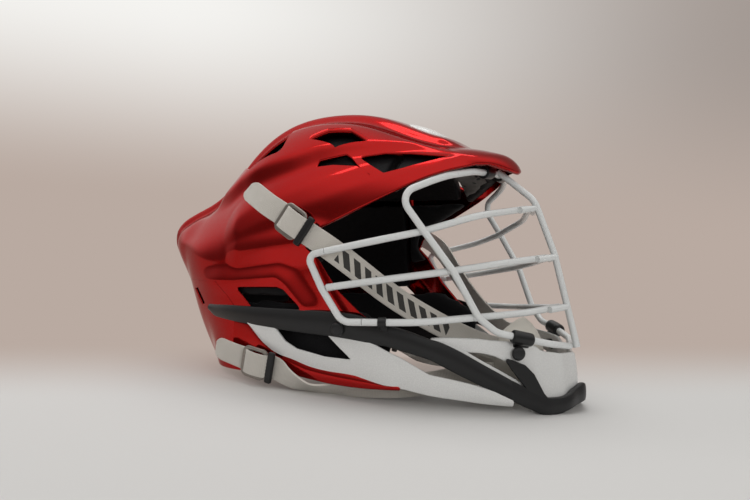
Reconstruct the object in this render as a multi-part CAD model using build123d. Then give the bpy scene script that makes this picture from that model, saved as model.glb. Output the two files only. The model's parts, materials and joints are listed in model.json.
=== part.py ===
from build123d import *
from functools import cache
import math
import os

# A lacrosse helmet at rest on its chin and nape, in millimetres.
# +X is the front, +Z is up, and -Y is the wearer's right.
# The origin is the middle of the bounding box, on the floor. Tables whose names end in
# shares give places as shares of length, half_width and height.

# overall sizes
length = 341.0
half_width = 105.0
height = 217.0
overrun = 8.0

# moulded shell
shell_wall = 3.0
side_rib_rise = 3.5
center_rib_rise = 5.5
shut_line = 0.6
badge_rise = 1.8
boss_radius = 7.5
boss_rise = 0.6

# jaw trim and guards
trim_wall = 5.0
trim_proud = 1.0
guard_wall = 3.0
chin_wall = 4.0
seat_gap = 0.3

# cage
wire_diameter = 4.8
weld_sink = 0.3
wire_bend_radius = 45.0
middle_bend_radius = 20.0
side_bend_radius = 16.0
corner_bend_radius = 11.0
clip_wall = 2.0
clip_tab_width = 8.0
clip_sleeve_length = 11.5
screw_head_radius = 4.4
screw_head_height = 2.4
screw_shank_radius = 2.0
screw_length = 9.0
screw_recess_radius = 1.7
screw_recess_depth = 1.4

# liner and pads
liner_gap = 0.4
liner_thickness = 11.0
pad_thickness = 12.0
brow_thickness = 9.0

# harness
webbing_width = 16.0
webbing_thickness = 1.4
ring_length = 21.0
ring_width = 22.0
ring_bar = 3.0
ring_height = 3.2
ring_lift = 2.6
lock_depth = 5.0
tooth_length = 1.2
tooth_count = 6
wrap_crown = 2.6
stud_flange_radius = 4.6
stud_flange_height = 0.8
stud_neck_radius = 2.3
stud_height = 3.6
socket_radius = 5.2
socket_lip = 1.1
socket_height = 3.4
fit_gap = 0.35
cup_wall = 3.0
cup_pad_thickness = 4.0


def at(x_share, y_share, z_share):
    return Vector(x_share * length, y_share * half_width, z_share * height)


def both_sides(solid):
    return [solid, mirror(solid, about=Plane.XZ)]


# The helmet rests on the chin trim's corners and on the rear shell's rim. The parts
# are laid out level and turned to that rest when they are written.
chin_rest_shares = (0.4707, 0, 0)
rim_rest_shares = (-0.3754, 0, 0.1244)
origin_share = -0.0023


def rest_turn():
    run = at(*chin_rest_shares) - at(*rim_rest_shares)
    return math.degrees(math.atan2(-run.Z, run.X))


def rest_pose():
    pivot = at(*chin_rest_shares)
    return Pos(origin_share * length, 0, 0) * Pos(*pivot) * Rot(0, -rest_turn(), 0) * Pos(*-pivot)


def floor():
    """The floor's block in the level layout, for cutting flat what stands on it."""
    block = Pos(0, 0, -overrun) * Box(3 * length, 3 * half_width, 2 * overrun)
    return Pos(*at(*chin_rest_shares)) * Rot(0, rest_turn(), 0) * block


def write(node, *solids):
    placed = [rest_pose() * solid for solid in solids]
    export_step(placed[0] if len(placed) == 1 else Compound(children=placed), f"parts/{node}.step")


def write_pair(node, solid):
    write(f"{node}_right", solid)
    write(f"{node}_left", mirror(solid, about=Plane.XZ))


def one_solid(shape):
    return max(shape.solids(), key=lambda s: s.volume)


# The dome's cross sections from rear to brim: place, half width, height of the
# widest point, top, bottom, the bottom's share of the half width, and how square the arch is.
dome_shares = [
    (-0.4692, 0.0952, 0.5576, 0.5853, 0.53, 1, 2.3), (-0.4604, 0.1857, 0.5507, 0.5968, 0.4977, 0.9, 2.3),
    (-0.4457, 0.281, 0.5392, 0.612, 0.4562, 0.66, 2.3),
    (-0.4252, 0.3619, 0.5207, 0.629, 0.3917, 0.3, 2.2),
    (-0.3988, 0.4381, 0.5069, 0.6475, 0.2903, 0.12, 2.1),
    (-0.3754, 0.4952, 0.4954, 0.6636, 0.1843, 0.1, 2),
    (-0.349, 0.5714, 0.4839, 0.6866, 0.1014, 0.28, 1.8),
    (-0.305, 0.6952, 0.4724, 0.7396, 0.0922, 0.5, 1.62),
    (-0.2346, 0.8429, 0.4608, 0.8548, 0.0922, 0.82, 1.58),
    (-0.1408, 0.9524, 0.4608, 0.9447, 0.0922, 0.95, 1.9),
    (-0.0293, 1, 0.4608, 0.9724, 0.0922, 0.98, 2.25), (0.088, 0.981, 0.4885, 0.9516, 0.0922, 1, 2.3),
    (0.1906, 0.8952, 0.5806, 0.8894, 0.0922, 1, 2.3), (0.2639, 0.7762, 0.6452, 0.8594, 0.0922, 1, 2.3),
    (0.305, 0.6381, 0.682, 0.8502, 0.0922, 1, 2.3), (0.3314, 0.5238, 0.6889, 0.8406, 0.0922, 1, 2.3),
    (0.3548, 0.3714, 0.6912, 0.8276, 0.0922, 1, 2.3), (0.3724, 0.2286, 0.6912, 0.8028, 0.0922, 1, 2.3),
    (0.3812, 0.1048, 0.6912, 0.7765, 0.0922, 1, 2.3),
]
dome_center_share = -0.044
dome_angles = (24, 46, 68)
arch_shares = (0, 0.09, 0.18, 0.27, 0.35, 0.43, 0.5)


@cache
def dome(grow):
    """The shell's form, moved outward by grow."""
    center = dome_center_share * length
    x_scale = 1 + grow / (length / 2)
    y_scale = 1 + grow / half_width
    z_scale = 1 + grow / height
    sections = []
    for x_share, width_share, side_share, top_share, bottom_share, tuck_share, squareness in dome_shares:
        x = center + (x_share * length - center) * x_scale
        width = width_share * half_width * y_scale
        side, top, bottom = (share * height * z_scale for share in (side_share, top_share, bottom_share))
        half = [(width * tuck_share, bottom), (width * (2 + tuck_share) / 3, (side + bottom) / 2), (width, side)]
        for angle in dome_angles:
            c, s = math.cos(math.radians(angle)), math.sin(math.radians(angle))
            half.append((width * c ** (2 / squareness), side + (top - side) * s ** (2 / squareness)))
        outline = [(y, z) for y, z in half] + [(0, top)] + [(-y, z) for y, z in reversed(half)]
        points = [Vector(x, y, z) for y, z in outline]
        places = list(arch_shares) + [1 - share for share in reversed(arch_shares[:-1])]
        arch = Edge.make_spline(points, parameters=places)
        base = Line(points[-1], points[0])
        sections.append(make_face([arch, base]))
    return loft(sections)


def side_prism(outline_shares, y_from_share=-1.5, y_to_share=1.5):
    points = [at(x, y_from_share, z) for x, z in outline_shares]
    face = make_face(Polyline(*points, close=True))
    return extrude(face, amount=(y_to_share - y_from_share) * half_width, dir=(0, 1, 0))


def top_prism(outline_shares, z_from_share=0.5, z_to_share=1.1):
    points = [at(x, y, z_from_share) for x, y in outline_shares]
    face = make_face(Polyline(*points, close=True))
    return extrude(face, amount=(z_to_share - z_from_share) * height, dir=(0, 0, 1))


# Outlines seen from the side.
face_opening_shares = [
    (0.0293, 0.5207), (0.0411, 0.5576), (0.0587, 0.5876), (0.1525, 0.659), (0.2111, 0.7051),
    (0.2551, 0.7419), (0.2933, 0.7696), (0.3284, 0.7926), (0.349, 0.7949), (0.3666, 0.7857),
    (0.3842, 0.7742), (0.6745, 0.7373), (0.6745, -0.0922), (0.176, -0.0922), (0.176, 0.2765),
    (0.1408, 0.318), (0.0968, 0.3871), (0.0557, 0.4839),
]
shell_bottom_shares = [
    (-0.5865, 0.4101), (-0.2053, 0.4101), (-0.1525, 0.3295), (-0.132, 0.2811), (0.176, 0.2811),
    (0.176, -0.0922), (-0.5865, -0.0922),
]
rear_shell_shares = [
    (-0.5865, 0.4074), (-0.2065, 0.4074), (-0.154, 0.3272), (-0.1334, 0.2788), (-0.0704, 0.2212),
    (-0.0528, 0.1184), (-0.4106, 0.1184), (-0.5865, 0.2028),
]
side_rib_shares = [
    (-0.5572, 0.5714), (-0.4839, 0.5853), (-0.4194, 0.6198), (-0.2874, 0.6636), (-0.217, 0.7005),
    (-0.176, 0.735), (-0.1261, 0.7581), (-0.0264, 0.7926), (0.0235, 0.818), (0.085, 0.8295),
    (0.2082, 0.8304), (0.2933, 0.818), (0.3636, 0.7972), (0.3636, 1.0599), (-0.5572, 1.0599),
]
side_slot_shares = [
    (0.0235, 0.7788), (0.0293, 0.8041), (0.085, 0.8221), (0.1613, 0.8249), (0.2082, 0.8249),
    (0.2874, 0.8134), (0.2581, 0.794), (0.2082, 0.7664), (0.1701, 0.7627), (0.1496, 0.7512),
    (0.1173, 0.7765), (0.0645, 0.7834),
]
slot_strut_shares = [
    (0.0968, 0.8111), (0.1085, 0.8111), (0.176, 0.7512), (0.1554, 0.7373),
]
side_vent_shares = [
    (-0.1408, 0.394), (-0.0264, 0.394), (0.0264, 0.3263), (-0.1026, 0.3263),
]
rear_slot_shares = [
    (-0.3284, 0.3779), (-0.3021, 0.3871), (-0.2757, 0.3272), (-0.2962, 0.3203),
]
# Outlines seen from above, for the right half.
rear_top_vent_shares = [
    (-0.2346, -0.381), (-0.1701, -0.6667), (-0.0704, -0.7429), (-0.088, -0.381),
]
front_top_vent_shares = [
    (-0.0117, -0.6381), (0.0117, -0.3619), (0.0997, -0.3429), (0.1701, -0.4952), (0.0704, -0.7333),
]
rib_inner_share = 0.4762
center_rib_shares = [
    (-0.5572, -0.1905), (-0.176, -0.2571), (0.1173, -0.2857), (0.217, -0.2476), (0.2434, -0.1143),
    (0.2434, 0.1143), (0.217, 0.2476), (0.1173, 0.2857), (-0.176, 0.2571), (-0.5572, 0.1905),
]
badge_shares = [
    (0.1378, -0.1619), (0.2111, -0.2), (0.2229, 0), (0.2111, 0.2), (0.1378, 0.1619),
]


def seat(point_shares, along, outward):
    """Plane of a part: x along the strap, z out of the surface."""
    out = Vector(*outward).normalized()
    x_dir = Vector(*along) - out * Vector(*along).dot(out)
    return Plane(origin=at(*point_shares), x_dir=x_dir, z_dir=out)


upper_stud_shares = (0.0044, -0.979, 0.5977)
upper_along = (0.84, -0.11, -0.53)
upper_out = (-0.03, -0.985, 0.17)
lower_stud_shares = (-0.0792, -0.9876, 0.1544)
lower_along = (0.97, -0.06, -0.22)
lower_out = (-0.06, -0.995, -0.05)
upper_seat = seat(upper_stud_shares, upper_along, upper_out)
lower_seat = seat(lower_stud_shares, lower_along, lower_out)


def boss(seat_plane):
    depth = boss_rise + shell_wall
    return seat_plane * Pos(0, 0, -depth / 2) * Cylinder(boss_radius, depth)


def stud_hole(seat_plane):
    return seat_plane * Cylinder(stud_neck_radius, 4 * shell_wall)


def raised_dome():
    base = dome(0)
    rib = dome(side_rib_rise) & side_prism(side_rib_shares)
    rib -= top_prism([(-1, -rib_inner_share), (1, -rib_inner_share), (1, rib_inner_share), (-1, rib_inner_share)])
    center = dome(center_rib_rise) & top_prism(center_rib_shares)
    return base + rib + center


def top_vents():
    vents = []
    for outline in (rear_top_vent_shares, front_top_vent_shares):
        vents += both_sides(top_prism(outline))
    return vents


def side_vents():
    vents = []
    slot = side_prism(side_slot_shares, y_to_share=-0.3619) - side_prism(slot_strut_shares)
    for cut in (slot, side_prism(side_vent_shares, y_to_share=-0.5714), side_prism(rear_slot_shares, y_to_share=-0.3619)):
        vents += both_sides(cut)
    return vents


cage_center_share = 0.1173
chin_center_share = 0.3167
# The jaw's plan: place along the side and half width, from the nape to the chin.
jaw_plan_shares = [
    (-0.2463, 0.7619), (-0.176, 0.8857), (-0.129, 0.9429), (-0.0587, 0.9829), (0, 0.9962),
    (0.1232, 0.9952), (0.1994, 0.9524), (0.2698, 0.8381), (0.3314, 0.6857), (0.4047, 0.5143),
    (0.4692, 0.3619), (0.5015, 0.1905), (0.5176, 0),
]


def jaw_half_width(x_share):
    for (x0, y0), (x1, y1) in zip(jaw_plan_shares, jaw_plan_shares[1:]):
        if x_share <= x1 or (x1, y1) == jaw_plan_shares[-1]:
            return y0 + (y1 - y0) * (x_share - x0) / (x1 - x0)


def strip(stations, wall, proud=0.0, whole=False, lean_share=0.0):
    """A strip on the jaw's plan from stations of place, top and bottom; whole adds the left half."""
    spots = [(x, -jaw_half_width(x), top, low) for x, top, low in stations]
    if whole:
        spots += [(x, -y, top, low) for x, y, top, low in reversed(spots[:-1])]
    plan = [at(x, y, 0) for x, y, _, _ in spots]
    sections = []
    for i, (x, y, top, low) in enumerate(spots):
        run = plan[min(i + 1, len(plan) - 1)] - plan[max(i - 1, 0)]
        outward = Vector(run.Y, -run.X, 0).normalized()
        outer, inner = plan[i] + outward * proud, plan[i] + outward * (proud - wall)
        up, down = Vector(0, 0, top * height), Vector(0, 0, low * height)
        tilt = outward * (-lean_share * (top - low) * height)
        corners = [outer + up + tilt, outer + down, inner + down, inner + up + tilt]
        sections.append(make_face(Polyline(*corners, close=True)))
    return loft(sections, ruled=True)


side_trim_shares = [
    (-0.2405, 0.3318, 0.2995), (-0.176, 0.33, 0.2903), (-0.0997, 0.3272, 0.2857),
    (-0.0352, 0.3253, 0.2811), (0.0205, 0.3226, 0.2765), (0.0704, 0.3207, 0.265),
    (0.1202, 0.318, 0.2373), (0.1613, 0.2995, 0.2327), (0.1994, 0.2834, 0.2258), (0.2346, 0.265, 0.1982),
    (0.2757, 0.2373, 0.1613), (0.3402, 0.1866, 0.1014), (0.4076, 0.1313, 0.0461),
]
jaw_guard_shares = [
    (-0.1026, 0.2834, 0.2719), (-0.0704, 0.282, 0.235), (-0.0352, 0.2779, 0.1982), (0, 0.2765, 0.1682),
    (0.044, 0.2691, 0.1498), (0.088, 0.253, 0.1382), (0.1202, 0.2355, 0.129), (0.1613, 0.2309, 0.1166),
    (0.1994, 0.2244, 0.1037), (0.2346, 0.1968, 0.0922), (0.2757, 0.1599, 0.0783), (0.3402, 0.1, 0.0553),
    (0.4076, 0.0447, 0.0286),
]
guard_vent_shares = [
    (-0.0499, 0.2604), (0.044, 0.2465), (0.0909, 0.1705), (0.044, 0.176), (0.0088, 0.1963),
    (-0.0205, 0.2258),
]
guard_window_shares = [
    (0.1525, 0.2327), (0.1848, 0.224), (0.2346, 0.1862), (0.2933, 0.1429), (0.3402, 0.0931),
    (0.3754, 0.0622), (0.3167, 0.0945), (0.261, 0.1129), (0.2053, 0.1382), (0.1525, 0.1705),
]
rear_arm_shares = [
    (-0.1525, 0.2765, 0.1382), (-0.1056, 0.265, 0.1406), (-0.0704, 0.2323, 0.1392),
    (-0.0352, 0.1954, 0.1263), (0, 0.1654, 0.1143), (0.044, 0.147, 0.1041), (0.088, 0.1355, 0.0968),
    (0.1525, 0.1171, 0.0926), (0.2111, 0.0986, 0.0885),
]
chin_trim_shares = [
    (0.4088, 0.1636, 0.0392), (0.4282, 0.1244, 0.023), (0.4487, 0.0853, 0.0046),
    (0.4692, 0.0493, -0.0046), (0.4868, 0.0571, 0.0037), (0.5015, 0.0618, 0.0138),
    (0.5176, 0.0654, 0.024),
]
chin_guard_shares = [
    (0.2845, 0.2406, 0.2327), (0.3255, 0.235, 0.2074), (0.3812, 0.2304, 0.1843), (0.4088, 0.2258, 0.165),
    (0.4282, 0.2194, 0.1258), (0.4487, 0.212, 0.0866), (0.4692, 0.2051, 0.0507),
    (0.4868, 0.1982, 0.0585), (0.5015, 0.1926, 0.0631), (0.5176, 0.1866, 0.0668),
]
chin_lean_share = 0.16
trim_screw_shares = (0.1232, -1, 0.259)
chin_screw_shares = (0.4223, -0.4714, 0.1912)


def plan_out(x_share, y_share, center_share=cage_center_share):
    return Vector((x_share - center_share) * length, y_share * half_width, 0).normalized()


def shells(trim_room):
    inner = dome(-shell_wall)
    body = raised_dome() - inner
    outer = body - side_prism(face_opening_shares) - side_prism(shell_bottom_shares)
    for cut in top_vents() + side_vents():
        outer -= cut
    for solid in both_sides(boss(upper_seat)):
        outer += solid
    for cut in both_sides(stud_hole(upper_seat)) + trim_room:
        outer -= cut
    rear = body & side_prism(rear_shell_shares)
    rear -= side_prism(rear_slot_shares)
    for arm in both_sides(strip(rear_arm_shares, shell_wall)) + both_sides(boss(lower_seat)):
        rear += arm
    for cut in both_sides(stud_hole(lower_seat)) + trim_room:
        rear -= cut
    return one_solid(outer), one_solid(rear - floor())


def badge():
    plate = dome(center_rib_rise + badge_rise) & top_prism(badge_shares)
    return one_solid(plate - dome(center_rib_rise + seat_gap / 3))


def wire(points, radius=wire_bend_radius):
    """Round wire along straight runs and arcs, bent tighter at the middle of the face."""
    radii = []
    for before, here, after in zip(points, points[1:], points[2:]):
        turn = math.radians((here - before).get_angle(after - here))
        room = 0.45 * min((here - before).length, (after - here).length) / math.tan(turn / 2)
        at_middle = abs(here.Y) < wire_diameter
        radii.append(min(radius, room, middle_bend_radius if at_middle else radius))
    path = FilletPolyline(*points, radius=radii)
    section = Plane(origin=points[0], z_dir=points[1] - points[0]) * Circle(wire_diameter / 2)
    return sweep(section, path)


def mirrored(points):
    return points + [Vector(p.X, -p.Y, p.Z) for p in reversed(points[:-1])]


# Wire axes on the right half; every full bar ends at the middle of the face.
side_bar_shares = [
    (0.2669, -0.6952, 0.7272), (0.215, -0.8667, 0.682), (0.2639, -0.819, 0.5691),
    (0.3152, -0.7429, 0.447), (0.3563, -0.6429, 0.3041), (0.3842, -0.5571, 0.2581),
    (0.4267, -0.4381, 0.2373), (0.4692, -0.2476, 0.2143), (0.4915, 0, 0.1982),
]
top_bar_shares = [
    (0.2625, -0.7105, 0.7235), (0.2874, -0.6095, 0.7442), (0.3167, -0.3619, 0.765), (0.3299, 0, 0.7696),
]
center_bar_shares = [
    (0.3343, 0, 0.7765), (0.4141, 0, 0.677), (0.4566, 0, 0.4991), (0.4839, 0, 0.3258),
    (0.5041, 0, 0.1959),
]
upper_bar_shares = [
    (0.085, -1.0476, 0.5078), (0.1818, -0.981, 0.5392), (0.2639, -0.819, 0.5691),
    (0.3548, -0.5524, 0.6198), (0.4158, 0, 0.6507),
]
middle_bar_shares = [
    (0.0897, -1.0476, 0.3972), (0.1877, -0.9905, 0.4194), (0.3152, -0.7429, 0.447),
    (0.393, -0.4381, 0.47), (0.4592, 0, 0.4894),
]
lower_bar_shares = [
    (0.1642, -1.0419, 0.2949), (0.2639, -0.9333, 0.2949), (0.3563, -0.6429, 0.3041),
    (0.434, -0.3429, 0.3134), (0.4839, 0, 0.3272),
]
rear_bar_shares = [
    (0.085, -1.0476, 0.5078), (0.0455, -1.0476, 0.4945), (0.0771, -1.0476, 0.3954),
    (0.1232, -1.0571, 0.294), (0.1642, -1.0419, 0.2949),
]


def cage_points(shares):
    return [at(*share) for share in shares]


def inside_bar(shares, outer_indexes):
    """A bar that runs one wire inside the bars it is welded to."""
    points = []
    for i, share in enumerate(shares):
        point = at(*share)
        if i in outer_indexes:
            point -= plan_out(share[0], share[1]) * (wire_diameter - weld_sink)
        points.append(point)
    return points


def cage():
    side = cage_points(side_bar_shares)
    bars = {
        "cage_side_bar": wire(mirrored(side), side_bend_radius),
        "cage_top_bar": wire(mirrored(cage_points(top_bar_shares))),
        "cage_center_bar": wire(cage_points(center_bar_shares)),
        "cage_upper_bar": wire(mirrored(inside_bar(upper_bar_shares, (2, 3, 4)))),
        "cage_middle_bar": wire(mirrored(inside_bar(middle_bar_shares, (2, 3, 4)))),
        "cage_lower_bar": wire(mirrored(inside_bar(lower_bar_shares, (2, 3, 4)))),
    }
    for name, bar in bars.items():
        write(name, bar)
    write_pair("cage_rear_bar", wire(cage_points(rear_bar_shares), corner_bend_radius))


def screw(plane):
    head = Cylinder(screw_head_radius, screw_head_height)
    head = fillet(head.edges().group_by(Axis.Z)[-1], screw_head_height / 3)
    shank = Pos(0, 0, -(screw_head_height + screw_length) / 2) * Cylinder(screw_shank_radius, screw_length)
    recess = Pos(0, 0, screw_head_height / 2 - screw_recess_depth) * extrude(
        RegularPolygon(screw_recess_radius, 6), amount=2 * screw_recess_depth)
    return plane * Pos(0, 0, screw_head_height / 2) * (head + shank - recess)


# Clips that hold the wires: a sleeve round the wire and a tab to the screw.
chin_clip_shares = [
    (0.4375, -0.3895, 0.2313), (0.4584, -0.2962, 0.2203),
]
side_clip_shares = [
    (0.1848, -1.0195, 0.2949), (0.217, -0.9845, 0.2949),
]
visor_clip_shares = [
    (0.3226, -0.2, 0.7675), (0.3261, -0.1048, 0.7687),
]
visor_foot_shares = (0.2933, -0.1905, 0.8157)


def sleeve(ends, radius, stretch=1):
    start, finish = ends
    run = finish - start
    return Plane(origin=start + run / 2, z_dir=run) * Cylinder(radius, clip_sleeve_length * stretch)


def clip(ends, screw_plane, drop=0.0):
    """Sleeve round a wire between two points, with a tab under a screw's head."""
    middle = (ends[0] + ends[1]) / 2
    foot = screw_plane.origin - screw_plane.z_dir * (clip_wall / 2)
    reach = foot - middle + Vector(0, 0, drop)
    across = reach - screw_plane.z_dir * reach.dot(screw_plane.z_dir)
    tab_plane = Plane(origin=foot - across / 2, x_dir=across, z_dir=screw_plane.z_dir)
    tab = tab_plane * Box(across.length + clip_tab_width, clip_tab_width, clip_wall)
    neck_plane = Plane(origin=foot - (across + reach) / 2, x_dir=across, z_dir=screw_plane.z_dir)
    tab += neck_plane * Box(wire_diameter, wire_diameter, (reach - across).length + clip_wall)
    body = sleeve(ends, wire_diameter / 2 + clip_wall) + tab
    body -= sleeve(ends, wire_diameter / 2 + fit_gap / 4, 4)
    return one_solid(body - screw_plane * Cylinder(screw_shank_radius + fit_gap / 4, 4 * screw_length))


def screw_seat(point_shares, out, lift):
    return Plane(origin=at(*point_shares) + out * lift, z_dir=out)


def visor_clip():
    ends = cage_points(visor_clip_shares)
    middle, foot = (ends[0] + ends[1]) / 2, at(*visor_foot_shares)
    reach = foot - middle
    tab = Plane(origin=middle + reach / 2, x_dir=reach, z_dir=reach.cross(Vector(0, 1, 0))) * Box(
        reach.length, clip_tab_width, clip_wall)
    return one_solid(sleeve(ends, wire_diameter / 2 + clip_wall) + tab - sleeve(ends, wire_diameter / 2 + fit_gap / 2, 4))


# Liner blocks: each is the layer between two inset domes within a box of
# shares: x from, x to, y from, y to, z from, z to.
liner_box_shares = {
    "crown_liner": (-0.305, 0.176, -0.7619, 0.7619, 0.7005, 1.0599),
    "rear_liner": (-0.4985, -0.2874, -0.7619, 0.7619, 0.2949, 0.6982),
    "side_liner": (-0.2859, 0.0117, -1.0476, -0.381, 0.3594, 0.6982),
    "temple_pad": (0.0132, 0.1818, -1.0476, -0.381, 0.4608, 0.6982),
    "brow_liner": (0.1833, 0.2845, -0.8571, 0.8571, 0.6912, 0.9217),
    "nape_pad": (-0.4985, -0.2874, -0.7619, 0.7619, 0.1567, 0.2926),
    "crown_pad": (-0.176, 0.0587, -0.4286, 0.4286, 0.7373, 1.0599),
    "rear_pad": (-0.4985, -0.2889, -0.4762, 0.4762, 0.3456, 0.6912),
    "brow_pad": (0.1935, 0.2815, -0.5905, 0.5905, 0.682, 0.8111),
}


def layer(outer_grow, inner_grow, box_share):
    x0, x1, y0, y1, z0, z1 = box_share
    low, high = at(x0, y0, z0), at(x1, y1, z1)
    size = high - low
    block = Pos(*((low + high) / 2)) * Box(size.X, size.Y, size.Z)
    return (dome(outer_grow) & block) - dome(inner_grow)


def liners():
    outer = -shell_wall - liner_gap
    inner = outer - liner_thickness
    room = side_prism(face_opening_shares)
    for name, outer_grow, inner_grow in (
        ("crown_liner", outer, inner), ("rear_liner", outer, inner), ("nape_pad", outer, inner), ("brow_liner", outer, outer - brow_thickness),
        ("crown_pad", inner - liner_gap, inner - liner_gap - pad_thickness),
        ("rear_pad", inner - liner_gap, inner - liner_gap - pad_thickness),
        ("brow_pad", outer - brow_thickness - liner_gap, outer - 2 * brow_thickness - liner_gap),
    ):
        write(name, one_solid(layer(outer_grow, inner_grow, liner_box_shares[name]) - room))
    write_pair("side_liner", one_solid(layer(outer, inner, liner_box_shares["side_liner"]) - room))
    write_pair("temple_pad", one_solid(layer(outer, inner, liner_box_shares["temple_pad"]) - room))


# Jaw pads: cushions inside the jaw, stations of place, top and bottom.
jaw_pad_shares = [
    (-0.1818, 0.341, 0.212), (-0.1466, 0.3525, 0.1751), (-0.088, 0.3548, 0.1567), (0, 0.3548, 0.1382),
    (0.088, 0.3502, 0.1382), (0.1466, 0.3318, 0.1475), (0.1877, 0.2949, 0.1659),
    (0.2111, 0.2581, 0.1935),
]
jaw_pad_inset = 9.0
jaw_pad_wall = 13.0


def cushion(stations, inset, wall):
    """A pad with a crown on its inner face and drawn-in ends."""
    sections = []
    last = len(stations) - 1
    for i, (x, top, low) in enumerate(stations):
        y = -jaw_half_width(x)
        before, after = stations[max(i - 1, 0)][0], stations[min(i + 1, last)][0]
        run = at(after, -jaw_half_width(after), 0) - at(before, -jaw_half_width(before), 0)
        outward = Vector(run.Y, -run.X, 0).normalized()
        swell = math.sin(math.pi * (i + 0.7) / (last + 1.4))
        back = at(x, y, 0) - outward * inset
        crown = back - outward * (wall * (0.45 + 0.55 * swell))
        edge = back - outward * (wall * 0.3)
        z_low, z_high = low * height, top * height
        z_mid = (z_low + z_high) / 2
        outline = Spline(edge + Vector(0, 0, z_low), crown + Vector(0, 0, z_mid), edge + Vector(0, 0, z_high))
        sections.append(make_face([outline, Polyline(outline @ 1, back + Vector(0, 0, z_high), back + Vector(0, 0, z_low), outline @ 0)]))
    return loft(sections)


def webbing(points, outs, width=None, wall=None):
    """Flat strap along points; outs are its outward normals there."""
    half = (width or webbing_width) / 2
    depth = wall or webbing_thickness
    sections = []
    for i, (point, out) in enumerate(zip(points, outs)):
        run = points[min(i + 1, len(points) - 1)] - points[max(i - 1, 0)]
        out = Vector(*out)
        out = (out - run.normalized() * out.dot(run.normalized())).normalized()
        across = out.cross(run.normalized()) * half
        up = out * depth
        sections.append(make_face(Polyline(point - across, point + across, point + across + up, point - across + up, close=True)))
    return loft(sections, ruled=True)


# Straps from the buckles to the chin cup, and the free tails behind the buckles.
upper_lead_shares = [
    (0.0674, -1, 0.5369), (0.1173, -0.9048, 0.47), (0.1818, -0.7238, 0.3687), (0.2463, -0.5429, 0.288),
    (0.2991, -0.4095, 0.235), (0.3314, -0.3562, 0.212), (0.3636, -0.3362, 0.1982),
]
upper_lead_outs = (
    (0.0, -0.97, 0.15), (0.25, -0.93, 0.15), (0.45, -0.85, 0.15), (0.5, -0.8, 0.15), (0.45, -0.88, 0.1), (0.2, -0.97, 0.1), (0.08, -0.99, 0.1),
)
lower_lead_shares = [
    (0.0059, -1.0324, 0.1129), (0.0469, -1, 0.0848), (0.0997, -0.9, 0.0802), (0.1584, -0.7762, 0.0793),
    (0.2229, -0.5952, 0.0876), (0.2757, -0.4619, 0.1014), (0.3226, -0.3638, 0.1152),
    (0.3578, -0.339, 0.1175),
]
lower_lead_outs = (
    (0.0, -0.85, -0.5), (0.05, -0.33, -0.94), (0.1, -0.4, -0.91), (0.2, -0.55, -0.81), (0.35, -0.8, -0.5), (0.4, -0.9, -0.2),
    (0.2, -0.97, -0.1), (0.05, -0.99, -0.1),
)
upper_tail_shares = [
    (-0.0513, -0.9695, 0.6507), (-0.085, -0.939, 0.6816), (-0.1188, -0.899, 0.7124),
]
upper_tail_outs = ((-0.05, -0.95, 0.3), (-0.07, -0.92, 0.4), (-0.1, -0.88, 0.46))
lower_tail_shares = [
    (-0.132, -0.9848, 0.1733), (-0.1613, -0.9676, 0.1843), (-0.1877, -0.9467, 0.1945),
]
lower_tail_outs = ((-0.1, -0.99, -0.1), (-0.15, -0.98, -0.08), (-0.2, -0.97, -0.05))


def ring(plane):
    """Frame of the buckle round the folded webbing."""
    window = Box(ring_length - 2 * ring_bar, ring_width - 2 * ring_bar, 2 * ring_height)
    frame = Box(ring_length, ring_width, ring_height)
    frame = fillet(frame.edges().filter_by(Axis.Z), ring_bar / 2)
    return plane * Pos(0, 0, ring_lift + ring_height / 2) * (frame - window)


def lock(plane):
    """Toothed bar that grips the strap ahead of the ring."""
    pitch = ring_width / (tooth_count + 1)
    bar = Box(lock_depth, ring_width, ring_height)
    bar = fillet(bar.edges().filter_by(Axis.Y), ring_height / 4)
    teeth = [Pos(lock_depth / 2, (i - (tooth_count - 1) / 2) * pitch, 0) * Box(tooth_length * 2, pitch / 2, ring_height / 2)
             for i in range(tooth_count)]
    for tooth in teeth:
        bar += tooth
    return plane * Pos((ring_length + lock_depth) / 2, 0, ring_lift + ring_height / 2) * bar


def socket(plane):
    """Female half of the snap, over the stud's head."""
    body = Cylinder(socket_radius, socket_height)
    body = fillet(body.edges().group_by(Axis.Z)[-1], socket_height / 4)
    bore = Pos(0, 0, -socket_height / 2) * Cylinder(stud_neck_radius + fit_gap, 2 * (stud_height - socket_lip + fit_gap))
    return plane * Pos(0, 0, socket_lip + socket_height / 2) * (body - bore)


def stud(plane):
    """Male half of the snap, riveted through the shell's boss."""
    flange = Pos(0, 0, stud_flange_height / 2) * Cylinder(stud_flange_radius, stud_flange_height)
    neck = Pos(0, 0, stud_height / 2) * Cylinder(stud_neck_radius, stud_height)
    rivet = Pos(0, 0, -(boss_rise + shell_wall) / 2) * Cylinder(stud_neck_radius - fit_gap / 4, boss_rise + shell_wall)
    return plane * (flange + neck + rivet)


def wrap(plane, under):
    """Folded webbing: a crown from bar to bar over the socket and a leg down to the tail."""
    top = ring_lift + ring_height
    start = socket_lip + socket_height + fit_gap / 2
    half = ring_length / 2 - ring_bar - fit_gap / 2
    crown = Spline((-half, 0, top), (0, 0, top + wrap_crown), (half, 0, top))
    leg = -half + webbing_thickness
    sides = Polyline(crown @ 1, (half, 0, start), (leg, 0, start), (leg, 0, under), (-half, 0, under), crown @ 0)
    return plane * Pos(0, webbing_width / 2, 0) * extrude(make_face([crown, sides]), amount=webbing_width, dir=(0, -1, 0))


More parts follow.
